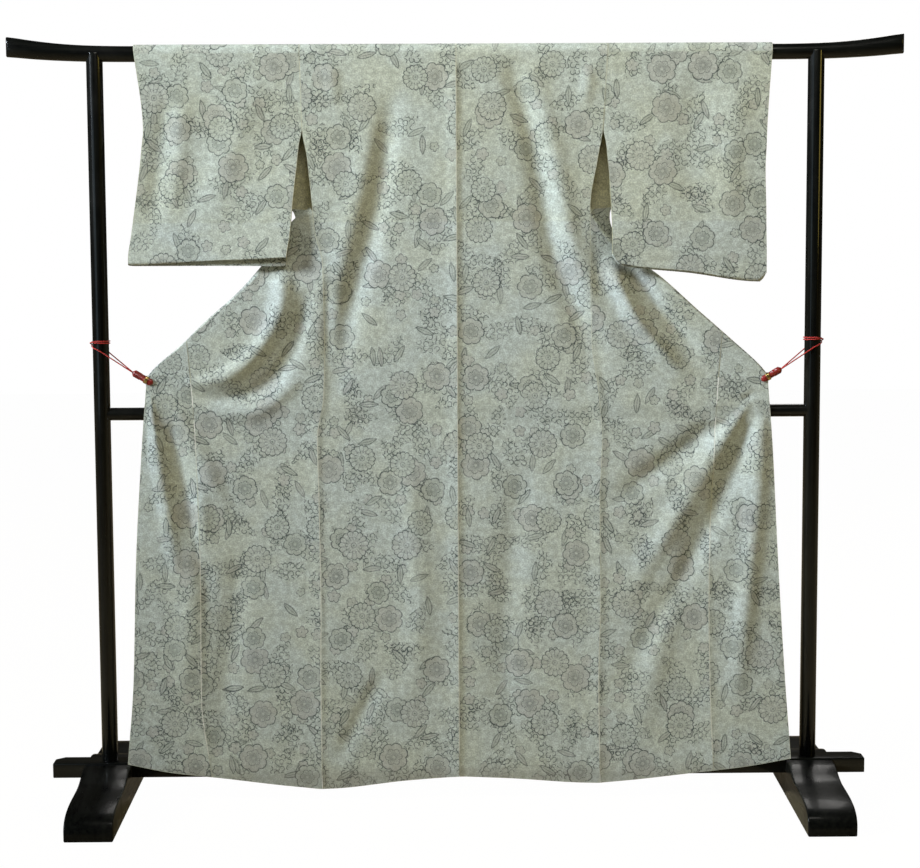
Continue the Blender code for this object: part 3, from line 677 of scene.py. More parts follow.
# %% [markdown]
# ## The ties
# A thin braided cord ties each clip to its post. It leaves the clip, crosses the front of the post, goes
# round it, and comes back behind it to the clip, so two strands show. The clip's own frame has X along the
# clip from its tie to its tip, Y in depth and Z across. The cord is a tube swept along the route, with a UV
# map that runs round and along it for the braid.

# %% Tie cords
CORD_DIAMETER = 0.0026
CLIP_LENGTH, CLIP_WIDTH = 0.050, 0.016
CLIP_TIE, CLIP_TIP = (0.6845, 0.9240), (0.6400, 0.8985)  # x and z of the clip's two ends
TIE_POINTS, TIE_RUN_POINTS = 48, 9
# The tie's height as it goes round its post. Columns: degrees from the post's front, z
TIE_TURNS = (
    (1.0, 0.9695), (50.0, 0.9765), (90.0, 0.9805), (180.0, 0.9835), (360.0, 0.9860),
    (540.0, 0.9885), (735.0, 0.9900), (820.0, 0.9840), (931.0, 0.9660),
)
TIE_LIFT = 735.0  # from this turn on, the cord lies on its own first lap


def clip_frame(label, sign):
    tie, tip = (Vector((sign * x, 0, z)) for x, z in (CLIP_TIE, CLIP_TIP))
    along = (tip - tie).normalized()
    depth = Vector((0, 1, 0))
    turn = Matrix((along, depth, along.cross(depth))).transposed().to_4x4()
    low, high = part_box(f"clip_{label}")
    return Matrix.Translation(Vector((tie.x, (low[1] + high[1]) / 2, tie.z))) @ turn


def tie_route(label, sign):
    clip_place = clip_frame(label, sign)
    leave = clip_place @ Vector((-0.0006, -0.0025, 0.0))
    arrive = clip_place @ Vector((-0.0006, 0.0025, 0.0))
    degrees = [row[0] for row in TIE_TURNS]
    heights = [row[1] for row in TIE_TURNS]
    turns = []
    for step in range(TIE_POINTS):
        angle = mix(degrees[0], degrees[-1], step / (TIE_POINTS - 1))
        ring = POST_RADIUS + CORD_DIAMETER / 2 + 0.0005
        ring += (CORD_DIAMETER + 0.0004) * float(smooth((angle - TIE_LIFT) / 60))
        x = sign * (POST_X + ring * math.sin(math.radians(angle)))
        y = -ring * math.cos(math.radians(angle))
        turns.append(Vector((x, y, float(np.interp(angle, degrees, heights)))))
    to_post = [leave.lerp(turns[0], step / TIE_RUN_POINTS) for step in range(TIE_RUN_POINTS)]
    from_post = [turns[-1].lerp(arrive, (step + 1) / TIE_RUN_POINTS) for step in range(TIE_RUN_POINTS)]
    return [tuple(point) for point in to_post + turns + from_post]


def tube(name, path, radius, material, around=12):
    """A tube along a path, with a UV map in metres: round the tube, then along it."""
    path = np.array(path)
    tangents = np.gradient(path, axis=0)
    tangents /= np.linalg.norm(tangents, axis=1, keepdims=True)
    side = np.cross(tangents[0], (0.0, 0.0, 1.0))
    run = np.concatenate([[0.0], np.cumsum(np.linalg.norm(np.diff(path, axis=0), axis=1))])
    rings = []
    for middle, tangent in zip(path, tangents):
        side = side - tangent * side.dot(tangent)
        side /= np.linalg.norm(side)
        other = np.cross(tangent, side)
        angles = 2 * np.pi * np.arange(around) / around
        rings.append(middle + radius * (np.outer(np.cos(angles), side) + np.outer(np.sin(angles), other)))
    points = np.concatenate(rings).tolist()
    faces, uvs = [], []
    for ring in range(len(path) - 1):
        for step in range(around):
            after = (step + 1) % around
            first, second = ring * around, (ring + 1) * around
            faces.append((first + step, second + step, second + after, first + after))
            here, there = run[ring], run[ring + 1]
            for share, length in ((step, here), (step, there), (step + 1, there), (step + 1, here)):
                uvs.extend((2 * math.pi * radius * share / around, length))
    for ring, order in ((0, 1), (len(path) - 1, -1)):
        faces.append([ring * around + step for step in range(around)][::order])
        uvs.extend([0.0, 0.0] * around)
    mesh = bpy.data.meshes.new(name)
    mesh.from_pydata(points, [], faces)
    mesh.uv_layers.new(name="cloth").data.foreach_set("uv", np.array(uvs, np.float32))
    mesh.update()
    check = mesh.polygons[0]
    if (Vector(check.center) - Vector(path[0])).dot(check.normal) < 0:
        mesh.flip_normals()
    mesh.shade_smooth()
    mesh.materials.append(material)
    obj = bpy.data.objects.new(name, mesh)
    bpy.context.scene.collection.objects.link(obj)
    return obj


cord_red, wires, shader = new_material(
    "braided_cord", Roughness=0.62, Sheen_Weight=0.2, Specular_IOR_Level=0.3
)
round_and_along = wires.node("ShaderNodeUVMap", uv_map="cloth").outputs[0]
u, v, _ = wires.node("ShaderNodeSeparateXYZ", {0: round_and_along}).outputs
BRAID_STEP = 0.0022
strands = []
for lean in (1.0, -1.0):
    phase = wires.times(wires.plus(wires.times(u, lean), v), 2 * math.pi / BRAID_STEP)
    strands.append(wires.sum("SINE", phase))
braid = wires.ramp(wires.times(strands[0], strands[1]), -0.6, 0.7)
# Painted shade in the braid: darker red where the strands dip into the grooves, lighter on their crests
groove_shaded_thread = wires.colour(braid, (0.34, 0.010, 0.010), (0.80, 0.045, 0.035))
worn = wires.noise(wires.node("ShaderNodeTexCoord").outputs["Object"], 260.0)
faded_thread = wires.ramp(worn, 0.45, 0.8, 0.0, 0.25)
wires.feed(shader["Base Color"], wires.colour(faded_thread, groove_shaded_thread, (0.75, 0.12, 0.08)))
bump = wires.node("ShaderNodeBump", {"Strength": 0.6, "Distance": 0.0004, "Height": braid})
wires.feed(shader["Normal"], bump.outputs["Normal"])

ties = {}
for _, label, sign in SIDES:
    route = soft_line(tie_route(label, sign), 3)
    length = float(np.linalg.norm(np.diff(route, axis=0), axis=1).sum())
    tie = tube(f"tie_{label}", route, CORD_DIAMETER / 2, cord_red)
    declare(tie, f"cord_{label}")
    ties[label] = (tie, route, length)
    print(tie.name + ":", round(length, 3), "m")

# %% [markdown]
# ## The print
# The silk carries a fine all-over print: round chrysanthemums with a double scalloped rim, wavy peonies,
# long veined leaves, sprays of tiny open loops and small five-petalled blossoms, all in broken slate
# outlines with faint washes of mauve and buff. Each motif is a node group. A shared group scatters places
# over the cloth and gives each its own turn and chance, and the motif's group draws round the nearest
# place. Motifs near the top of the list cover those below, as a printer's stencils do.

# %% Scatter group
wires, given, result = new_group(
    "scatter",
    {"Cloth": "Vector", "Cell": "Float", "Looseness": "Float", "Shift": "Float"},
    {"X": "Float", "Y": "Float", "Radius": "Float", "Angle": "Float", "Chance": "Float", "Size": "Float"},
)
shifted = wires.node("ShaderNodeVectorMath", operation="ADD")
wires.feed(shifted.inputs[0], given["Cloth"])
shift_both = wires.node("ShaderNodeCombineXYZ", {0: given["Shift"], 1: given["Shift"]})
wires.feed(shifted.inputs[1], shift_both.outputs[0])
scaled = wires.node("ShaderNodeVectorMath", operation="SCALE")
wires.feed(scaled.inputs[0], shifted.outputs[0])
wires.feed(scaled.inputs["Scale"], wires.sum("DIVIDE", 1.0, given["Cell"]))
cells = wires.node("ShaderNodeTexVoronoi", voronoi_dimensions="2D")
wires.feed(cells.inputs["Vector"], scaled.outputs[0])
cells.inputs["Scale"].default_value = 1.0
wires.feed(cells.inputs["Randomness"], given["Looseness"])
offset = wires.node("ShaderNodeVectorMath", operation="SUBTRACT")
wires.feed(offset.inputs[0], scaled.outputs[0])
wires.feed(offset.inputs[1], cells.outputs["Position"])
off_x, off_y, _ = wires.node("ShaderNodeSeparateXYZ", {0: offset.outputs[0]}).outputs
off_x, off_y = wires.times(off_x, given["Cell"]), wires.times(off_y, given["Cell"])
chance, size, spin = wires.node("ShaderNodeSeparateColor", {0: cells.outputs["Color"]}).outputs
spin = wires.times(spin, 2 * math.pi)
cosine, sine = wires.sum("COSINE", spin), wires.sum("SINE", spin)
local_x = wires.plus(wires.times(off_x, cosine), wires.times(off_y, sine))
local_y = wires.minus(wires.times(off_y, cosine), wires.times(off_x, sine))
radius = wires.sum("SQRT", wires.plus(wires.times(off_x, off_x), wires.times(off_y, off_y)))
wires.feed(result["X"], local_x)
wires.feed(result["Y"], local_y)
wires.feed(result["Radius"], radius)
wires.feed(result["Angle"], wires.sum("ARCTAN2", local_y, local_x))
wires.feed(result["Chance"], chance)
wires.feed(result["Size"], size)
print("scatter group:", len(wires.tree.nodes), "nodes")

# %% [markdown]
# ## Motifs
# Each motif's group puts out its outline, the area it covers, and how deep its wash is. The number of
# petals is how often the wavy radius rises and falls on the way round. An open loop is a small ring with a
# quarter left out, turned another way each time.

# %% Motif groups
PEN = 0.0023  # width of a drawn line
SOCKETS = {"Line": "Float", "Cover": "Float", "Wash": "Float", "Hue": "Float"}
NEEDS = {"Cloth": "Vector", "Cell": "Float", "Shift": "Float", "Share": "Float"}


def motif(name, looseness=0.72):
    """A motif's group with its given sockets, its scattered place, and whether this place is used."""
    wires, given, result = new_group(name, NEEDS, SOCKETS)
    cloth, cell, shift = given["Cloth"], given["Cell"], given["Shift"]
    place = wires.place("scatter", Cloth=cloth, Cell=cell, Shift=shift, Looseness=looseness)
    used = wires.sum("LESS_THAN", place["Chance"], given["Share"])
    return wires, given, place, used, result


def put_out(wires, result, used, line, cover, wash, hue):
    wires.feed(result["Line"], wires.times(line, used, clamp=True))
    wires.feed(result["Cover"], wires.times(cover, used, clamp=True))
    wires.feed(result["Wash"], wires.times(wash, used, clamp=True))
    wires.feed(result["Hue"], hue)


def lobes(wires, place, wave, turns):
    """Rises and falls between 0 and 1 on the way round, twice for each turn."""
    return wires.sum("ABSOLUTE", wires.sum(wave, wires.times(place["Angle"], turns)))


def wavy(wires, size, lobe, low, swing, power=1.0):
    """A radius that follows the lobes. low and swing are shares of the size."""
    return wires.times(size, wires.plus(low, wires.times(wires.sum("POWER", lobe, power), swing)))


def rim_line(wires, place, rim, width, strength=1.0):
    return wires.times(wires.stroke(wires.minus(place["Radius"], rim), width), strength)


def within(wires, away, soft=0.0006):
    """1 where away is negative, 0 where it is positive, with a soft step between."""
    return wires.ramp(away, -soft, soft, 1.0, 0.0)


SCALLOPS, RAYS = 7.5, 11.0
wires, _, place, used, result = motif("chrysanthemum")
size = wires.plus(0.0255, wires.times(place["Size"], 0.0060))
scallop = lobes(wires, place, "SINE", SCALLOPS)
rim = wavy(wires, size, scallop, 0.88, 0.12, power=0.7)
inner_rim = wavy(wires, size, lobes(wires, place, "COSINE", 5.5), 0.46, 0.12)
line = wires.plus(rim_line(wires, place, rim, PEN), rim_line(wires, place, inner_rim, PEN * 0.8, 0.5))
petal = wires.times(wires.times(scallop, place["Radius"]), 1 / SCALLOPS)
petals = wires.times(wires.stroke(petal, PEN * 0.75), wires.ramp(place["Radius"], 0.009, 0.013, 0.0, 0.55))
inside = within(wires, wires.minus(place["Radius"], rim))
line = wires.plus(line, wires.times(petals, inside))
heart_ring = rim_line(wires, place, 0.0052, PEN * 0.8, 0.6)
heart = wires.plus(heart_ring, wires.ramp(place["Radius"], 0.0014, 0.0030, 0.7, 0.0))
put_out(wires, result, used, wires.plus(line, heart), inside, wires.times(inside, 0.7), place["Size"])

wires, _, place, used, result = motif("peony")
size = wires.plus(0.0240, wires.times(place["Size"], 0.0080))
rim = wavy(wires, size, lobes(wires, place, "COSINE", 3.5), 0.78, 0.22, power=0.5)
inner_rim = wavy(wires, size, lobes(wires, place, "SINE", 3.0), 0.40, 0.18, power=0.6)
line = rim_line(wires, place, rim, PEN * 1.05)
line = wires.plus(line, rim_line(wires, place, inner_rim, PEN * 0.85, 0.65))
ray = wires.sum("SINE", wires.times(place["Angle"], RAYS))
ray = wires.times(wires.times(ray, place["Radius"]), 1 / RAYS)
rays = wires.times(wires.stroke(ray, PEN * 0.6), wires.ramp(place["Radius"], 0.010, 0.019, 0.55, 0.12))
rays = wires.times(rays, wires.ramp(place["Radius"], 0.002, 0.004))
inside = within(wires, wires.minus(place["Radius"], rim))
line = wires.plus(line, wires.times(rays, inside))
put_out(wires, result, used, line, inside, inside, place["Size"])

LEAF_HALF, LEAF_HALF_WIDTH, VEIN_TURNS = 0.021, 0.0058, 1250.0
wires, _, place, used, result = motif("leaf")
reach = wires.sum("DIVIDE", place["X"], LEAF_HALF)
half_width = wires.times(wires.minus(1.0, wires.times(reach, reach)), LEAF_HALF_WIDTH)
across = wires.sum("ABSOLUTE", place["Y"])
beside = wires.minus(across, half_width)
on_leaf = wires.sum("LESS_THAN", wires.sum("ABSOLUTE", place["X"]), LEAF_HALF)
line = wires.times(wires.stroke(beside, PEN), on_leaf)
inside = within(wires, beside)
vein = wires.times(wires.sum("SINE", wires.times(wires.minus(place["X"], across), VEIN_TURNS)), 0.0012)
veins = wires.times(wires.stroke(vein, PEN * 0.6), 0.30)
veins = wires.plus(veins, wires.times(wires.stroke(place["Y"], PEN * 0.7), 0.6))
line = wires.plus(line, wires.times(veins, inside))
put_out(wires, result, used, line, inside, wires.times(inside, 0.8), place["Size"])

wires, _, place, used, result = motif("blossom")
size = wires.plus(0.0095, wires.times(place["Size"], 0.0045))
rim = wavy(wires, size, lobes(wires, place, "COSINE", 2.5), 0.55, 0.45, power=0.6)
line = rim_line(wires, place, rim, PEN * 0.9)
inside = within(wires, wires.minus(place["Radius"], rim), 0.0005)
dot = wires.ramp(place["Radius"], 0.0010, 0.0020, 0.8, 0.0)
put_out(wires, result, used, wires.plus(line, dot), inside, inside, place["Size"])

wires, given, place, used, result = motif("spray", looseness=0.8)
SPRAY_HALF, SPRAY_HALF_WIDTH = 0.044, 0.0200
LOOP_CELL, LOOP_RADIUS = 0.0128, 0.0050
reach = wires.sum("DIVIDE", place["X"], SPRAY_HALF)
bent = wires.plus(place["Y"], wires.times(wires.times(reach, reach), 0.010))
half_width = wires.times(wires.minus(1.0, wires.times(reach, reach)), SPRAY_HALF_WIDTH)
inside = wires.ramp(wires.minus(wires.sum("ABSOLUTE", bent), half_width), -0.0012, 0.0006, 1.0, 0.0)
loop = wires.place("scatter", Cloth=given["Cloth"], Cell=LOOP_CELL, Shift=given["Shift"], Looseness=0.40)
ring = rim_line(wires, loop, LOOP_RADIUS, PEN * 0.85)
opening = wires.ramp(wires.sum("COSINE", loop["Angle"]), -0.92, -0.55)
line = wires.times(wires.times(ring, opening), inside)
stem = wires.times(wires.stroke(bent, PEN * 0.5), wires.times(inside, 0.45))
put_out(wires, result, used, wires.plus(line, stem), 0.0, wires.times(inside, 0.35), place["Size"])
print("motifs:", ", ".join(("chrysanthemum", "peony", "leaf", "blossom", "spray")))

# %% [markdown]
# ## The print as a whole
# The layers are placed from the top down. A running "free" value says how much of the ground is still bare,
# and each layer draws only there. A little noise bends the cloth's coordinates, so that lines look drawn by
# hand, and another breaks the ink.

# %% Flower print group
# Columns: motif, cell, shift, share of places used, ink
LAYERS = (
    ("chrysanthemum", 0.118, 0.00, 0.56, 1.00),
    ("peony", 0.104, 3.71, 0.52, 0.95),
    ("peony", 0.150, 6.13, 0.40, 0.90),
    ("leaf", 0.060, 9.37, 0.34, 0.85),
    ("blossom", 0.036, 12.9, 0.24, 0.85),
    ("leaf", 0.072, 17.3, 0.30, 0.75),
    ("spray", 0.074, 21.7, 0.80, 0.95),
    ("spray", 0.092, 27.1, 0.60, 0.85),
)
wires, given, result = new_group(
    "flower_print", {"Cloth": "Vector"}, {"Ink": "Float", "Wash": "Float", "Hue": "Float"}
)
wobble = wires.node("ShaderNodeTexNoise", {"Vector": given["Cloth"], "Scale": 75.0, "Detail": 2.0})
bend = wires.node("ShaderNodeVectorMath", operation="MULTIPLY_ADD")
wires.feed(bend.inputs[0], wobble.outputs["Color"])
bend.inputs[1].default_value = (0.0042, 0.0042, 0.0)
wires.feed(bend.inputs[2], given["Cloth"])
drawn = bend.outputs[0]
ink, wash, hue, free = 0.0, 0.0, 0.0, 1.0
for name, cell, shift, share, strength in LAYERS:
    layer = wires.place(name, Cloth=drawn, Cell=cell, Shift=shift, Share=share)
    ink = wires.plus(ink, wires.times(wires.times(layer["Line"], strength), free))
    here = wires.times(layer["Wash"], free)
    wash = wires.plus(wash, here)
    hue = wires.plus(hue, wires.times(here, layer["Hue"]))
    free = wires.times(free, wires.minus(1.0, layer["Cover"]))
broken = wires.ramp(wires.noise(given["Cloth"], 420.0, 2.0), 0.31, 0.59, 0.45, 1.0)
faded = wires.ramp(wires.noise(given["Cloth"], 26.0, 2.0), 0.30, 0.62, 0.70, 1.0)
wires.feed(result["Ink"], wires.times(wires.times(ink, broken), faded, clamp=True))
wires.feed(result["Wash"], wires.times(wash, 1.0, clamp=True))
wires.feed(result["Hue"], wires.times(hue, 1.0, clamp=True))
print("print layers:", len(LAYERS))

# %% [markdown]
# ## Silk
# The ground is pale grey-green crepe, mottled a little towards blue and buff. The outside has the print at
# full strength and the inside shows it only faintly. A pale highlight line is painted along the cut edges.
# Crepe is matt close to, with a soft sheen where it turns away, so the sheen does the work and the gloss
# stays low.

# %% Crepe group
wires, given, result = new_group(
    "crepe", {"Cloth": "Vector"}, {"Height": "Float", "Grain": "Float", "Mottle": "Float", "Cloud": "Float"}
)
u, v, _ = wires.node("ShaderNodeSeparateXYZ", {0: given["Cloth"]}).outputs
THREAD = 0.0011
warp = wires.sum("SINE", wires.times(u, 2 * math.pi / THREAD))
weft = wires.sum("SINE", wires.times(v, 2 * math.pi / THREAD))
pebble = wires.noise(given["Cloth"], 620.0, 3.0, 0.6)
wires.feed(result["Height"], wires.plus(wires.times(wires.times(warp, weft), 0.35), pebble))
wires.feed(result["Grain"], wires.noise(given["Cloth"], 330.0, 2.0, 0.6))
wires.feed(result["Mottle"], wires.noise(given["Cloth"], 85.0, 4.0, 0.65))
wires.feed(result["Cloud"], wires.noise(given["Cloth"], 8.0, 3.0, 0.55))
print("crepe group:", len(wires.tree.nodes), "nodes")

# %% [markdown]
# ## The two sides of the silk
# Both sides use one function, with more or less ink and wash. It also paints shade into the colour: a dark
# band where the rail stands behind the thin silk, and a slightly darker, warmer colour where a second layer
# hangs behind. It darkens the colour towards the hem, too.

# %% Silk materials
GROUND_BLUE, GROUND_BUFF = (0.560, 0.610, 0.575), (0.565, 0.600, 0.525)
SLATE = (0.066, 0.082, 0.082)
WASH_GREY, WASH_MAUVE = (0.43, 0.45, 0.38), (0.45, 0.42, 0.395)
# Colour of the painted highlight line along the cut edges and seams
EDGE_HIGHLIGHT = (0.70, 0.70, 0.56)
# Painted shade where the rail stands behind the thin silk, and a darker colour towards the hem
RAIL_SHADE, HEM_SHADE = (0.10, 0.11, 0.10), (0.24, 0.21, 0.18)
# Painted shade, slightly darker and warmer, where a second layer hangs behind the silk
DOUBLE_LAYER_SHADE = (0.985, 0.975, 0.93)
RAIL_SHADE_STRENGTH = 0.10  # how much the dark rail shows through the thin silk
DOUBLE_FROM = 1.237  # above this height a second layer behind warms the colour


def silk(name, ink_strength, wash_strength, tint, edge_highlight_strength):
    material, wires, shader = new_material(
        name, Roughness=0.58, Specular_IOR_Level=0.25, Sheen_Weight=0.12, Sheen_Roughness=0.45
    )
    cloth = wires.node("ShaderNodeUVMap", uv_map="cloth").outputs[0]
    crepe = wires.place("crepe", Cloth=cloth)
    ground = wires.colour(wires.ramp(crepe["Cloud"], 0.38, 0.64), GROUND_BLUE, GROUND_BUFF)
    speckle = wires.colour(wires.ramp(crepe["Mottle"], 0.35, 0.68), (0.85, 0.85, 0.84), (1.15, 1.15, 1.17))
    ground = wires.colour(1.0, ground, speckle, "MULTIPLY")
    grain = wires.colour(wires.ramp(crepe["Grain"], 0.33, 0.67), (0.82, 0.82, 0.83), (1.20, 1.20, 1.19))
    ground = wires.colour(1.0, ground, grain, "MULTIPLY")
    print_layer = wires.place("flower_print", Cloth=cloth)
    wash_colour = wires.colour(wires.ramp(print_layer["Hue"], 0.15, 0.75), WASH_GREY, WASH_MAUVE)
    ground = wires.colour(wires.times(print_layer["Wash"], wash_strength), ground, wash_colour)
    ground = wires.colour(wires.times(print_layer["Ink"], ink_strength), ground, SLATE)
    edge = wires.node("ShaderNodeAttribute", attribute_name="edge").outputs["Fac"]
    # Painted highlight: a pale line along the cut edges and seams, where their edges catch the light
    edge_highlight = wires.ramp(edge, 0.0006, 0.0018, edge_highlight_strength, 0.0)
    ground = wires.colour(edge_highlight, ground, EDGE_HIGHLIGHT)
    place = wires.node("ShaderNodeTexCoord").outputs["Object"]
    height = wires.node("ShaderNodeSeparateXYZ", {0: place}).outputs["Z"]
    # Painted shade: a dark band across the silk where the rail stands behind it
    from_rail = wires.sum("ABSOLUTE", wires.minus(height, RAIL_Z))
    shade = wires.ramp(from_rail, RAIL_RADIUS - 0.003, RAIL_RADIUS + 0.002, RAIL_SHADE_STRENGTH, 0.0)
    ground = wires.colour(shade, ground, RAIL_SHADE)
    hem_shade = wires.ramp(height, 0.050, 0.085, 0.34, 0.0)
    ground = wires.colour(hem_shade, ground, HEM_SHADE)
    # Painted shade: slightly darker and warmer above the height where a second layer hangs behind
    doubled_shade = wires.ramp(height, DOUBLE_FROM - 0.003, DOUBLE_FROM + 0.003)
    ground = wires.colour(doubled_shade, ground, wires.colour(1.0, ground, DOUBLE_LAYER_SHADE, "MULTIPLY"))
    ground = wires.colour(1.0, ground, tint, "MULTIPLY")
    wires.feed(shader["Base Color"], ground)
    bump = wires.node("ShaderNodeBump", {"Strength": 0.16, "Distance": 0.0004, "Height": crepe["Height"]})
    wires.feed(shader["Normal"], bump.outputs["Normal"])
    return material


silk("silk_outside", 1.0, 0.36, (1.0, 1.0, 1.0), 0.5)
silk("silk_inside", 0.22, 0.10, (1.10, 1.0, 0.76), 0.4)
print("silk: outside and inside")

# %% [markdown]
# ## Body strips
# Back, shoulder, front and turned-out wing are one grid. The columns run from the centre seam to the side
# seam, and the front starts at the column where the neck opening ends. The rows go up the back, over the
# bar, down the far side to the fold line, round it, and down beside the back to the hem.

# %% Body
LOW_ROWS, HIGH_ROWS, CREST_ROWS, FAR_ROWS, JOIN_ROWS, FOLD_ROWS = 150, 44, 12, 44, 6, 11
BACK_COLUMNS, FRONT_COLUMNS = 14, 36
CREST_ARC = math.pi * (CREST_DEPTH + CREST_HEIGHT) / 2
# Where each piece was cut from the printed bolt: left and right shift along the weft
BOLT_SHIFT = {"body": (0.0, 2.2), "gore": (4.1, 5.3), "sleeve": (6.7, 8.3), "collar": 9.9}


def foot_x(table, side):
    """Where an upright line of a table stands at its lowest row."""
    return table[0][1 + side]


FOLD_RADIUS = (0.0100, 0.0017)  # at the armpit, and at the clip
FOLD_REACH = 0.03  # share of the fold line to each side, from which its direction there is taken
GORE_CLEAR = 0.0012  # share of the fold line left free between the front and the gore
WING_SHIFT = 0.9  # how much further along the bolt's width the turned-out cloth reads its print


def fold_point(share, side):
    return read(FOLD_LINE, share, 1 + 2 * side), read(FOLD_LINE, share, 2 + 2 * side)


def fold_rows(shares, side, sign):
    """Rows that turn about the fold line from far to near, and where the near side begins."""
    x, z = fold_point(shares, side)
    ahead_x, ahead_z = fold_point(np.minimum(shares + FOLD_REACH, 1.0), side)
    behind_x, behind_z = fold_point(np.maximum(shares - FOLD_REACH, 0.0), side)
    length = np.hypot(ahead_x - behind_x, ahead_z - behind_z)
    tangent_x, tangent_z = (ahead_x - behind_x) / length, (ahead_z - behind_z) / length
    radius = mix(*FOLD_RADIUS, smooth(shares * 1.15))
    base_x, base_z = x + tangent_z * radius, z - tangent_x * radius
    middle = near_depth(sign * base_x, base_z) + radius
    rows = []
    for angle in np.radians(np.linspace(90, -90, FOLD_ROWS)):
        out = radius * math.cos(angle)
        depth = middle + radius * math.sin(angle)
        rows.append(row_of(sign * (base_x - tangent_z * out), depth, base_z + tangent_x * out))
    return rows, base_x, base_z


def far_stations(side):
    """The far front's table with its real outer edge, keyed by row number."""
    stations = []
    for inner_x, inner_z, outer_x, outer_z, inner_y, outer_y in FAR_FRONT:
        if outer_x:
            outer = outer_x - RIGHT_ARMHOLE_SHIFT * side
        else:
            outer = float(read(SIDE_LINE, outer_z, 1 + side)) - SEAM_GAP / 2
        stations.append((len(stations), inner_x, inner_z, outer, outer_z, inner_y, outer_y))
    return stations


def crest_angles():
    return [math.pi * step / (CREST_ROWS + 1) for step in range(1, CREST_ROWS + 1)]


def strip_uv(grid, heights, shift, plane_bands):
    """UV in metres: along the strip, or flat as the near surface lies for the bands named."""
    strip = np.stack([grid[:, :, 0] + shift, heights], axis=2)
    plane = np.stack([grid[:, :, 0] + shift + WING_SHIFT, grid[:, :, 2]], axis=2)

    def uv_for(row):
        chart = plane if plane_bands(row) else strip
        return chart[row], chart[(row + 1) % len(grid)]

    return uv_for


def back_rows(side, sign, shares):
    """From the hem up to the bar, in the near surface, then over the bar. Also the height along the strip."""
    foot = read(HEM, shares * foot_x(SIDE_LINE, side), 1 + side)
    armpit = float(fold_point(0.0, side)[1])
    rows, heights = [], []
    for t in np.concatenate([np.linspace(0, 1, LOW_ROWS), 1 + np.linspace(0, 1, HIGH_ROWS)[1:]]):
        z = mix(foot, armpit, t) if t <= 1 else np.full(len(shares), mix(armpit, BAR_Z, t - 1))
        x = sign * mix(SEAM_GAP / 2, read(SIDE_LINE, z, 1 + side) - SEAM_GAP / 2, shares)
        rows.append(row_of(x, near_depth(x, z), z))
        heights.append(z)
    for angle in crest_angles():
        z = BAR_Z + CREST_HEIGHT * math.sin(angle)
        x = sign * mix(SEAM_GAP / 2, float(read(SIDE_LINE, z, 1 + side)) - SEAM_GAP / 2, shares)
        rows.append(row_of(x, -CREST_DEPTH * math.cos(angle), z))
        heights.append(np.full(len(x), BAR_Z + CREST_ARC * angle / math.pi))
    return rows, heights


def far_rows(side, sign, front, turned):
    """From the bar down the far side to the first of the rows that turn about the fold line."""
    stations = far_stations(side)
    rows = []
    for step in np.linspace(0, len(stations) - 1, FAR_ROWS):
        inner_x, inner_z, outer_x, outer_z, inner_y, outer_y = (
            float(read(stations, step, which)) for which in range(1, 7)
        )
        x, z = sign * mix(inner_x, outer_x, front), mix(inner_z, outer_z, front)
        calm = smooth(front / 0.15) * smooth((1 - front) / 0.15) * smooth((BAR_Z - z) / 0.05)
        rows.append(row_of(x, mix(inner_y, outer_y, front) + crease_height(x, z, FAR_CREASES) * calm, z))
    last = rows[-1]
    return rows + [mix(last, turned[0], step / JOIN_ROWS) for step in range(1, JOIN_ROWS)]


def wing_rows(side, sign, front, base_x, base_z):
    """From the fold line down beside the back to the hem, in the near surface."""
    low_x = mix(foot_x(GORE_SEAM, side), foot_x(SIDE_LINE, side), front)
    hem = read(HEM, low_x, 1 + side)
    high_x = mix(read(GORE_SEAM, base_z, 1 + side), read(SIDE_LINE, base_z, 1 + side), front)
    rows = []
    for t in np.linspace(0, 1, LOW_ROWS)[1:]:
        z = mix(base_z, hem, t)
        seam_x, side_x = read(GORE_SEAM, z, 1 + side), read(SIDE_LINE, z, 1 + side)
        x = mix(seam_x - SEAM_GAP / 2, side_x + SEAM_GAP / 2, front)
        x = sign * (x + (base_x - high_x) * (1 - t) ** 3)
        rows.append(row_of(x, near_depth(x, z), z))
    return rows


def body_panel(side, label, sign):
    neck_share = NECK_HALF / float(read(SIDE_LINE, BAR_Z, 1 + side))
    back_shares = np.linspace(0, neck_share, BACK_COLUMNS)[:-1]
    shares = np.concatenate([back_shares, np.linspace(neck_share, 1, FRONT_COLUMNS)])
    front = (shares[len(back_shares) :] - neck_share) / (1 - neck_share)
    no_cloth = np.full((len(back_shares), 3), np.nan)
    rows, heights = back_rows(side, sign, shares)
    turned, base_x, base_z = fold_rows(GORE_SHARE * (1 - front), side, sign)
    behind = far_rows(side, sign, front, turned) + turned
    wing = wing_rows(side, sign, front, base_x, base_z)
    first_plane = len(rows) + len(behind) - 1
    rows += [np.concatenate([no_cloth, row]) for row in behind + wing]
    heights += [2 * BAR_Z + CREST_ARC - row[:, 2] for row in rows[len(heights) : first_plane + 1]]
    heights += [row[:, 2] for row in rows[first_plane + 1 :]]
    grid = np.array(rows)
    uv = strip_uv(grid, np.array(heights), BOLT_SHIFT["body"][side], lambda row: row >= first_plane)
    piece = sheet_object(f"cloth_body_{label}", grid, uv, (0, -1, 0))


for body_side in SIDES:
    body_panel(*body_side)

# %% [markdown]
# ## Gores
# A narrow gore widens each front below the collar. It comes up from the hem beside the front, turns round
# the fold line with it, and ends behind, where the collar is sewn on.

# %% Gores
GORE_COLUMNS, GORE_FAR_ROWS = 24, 10


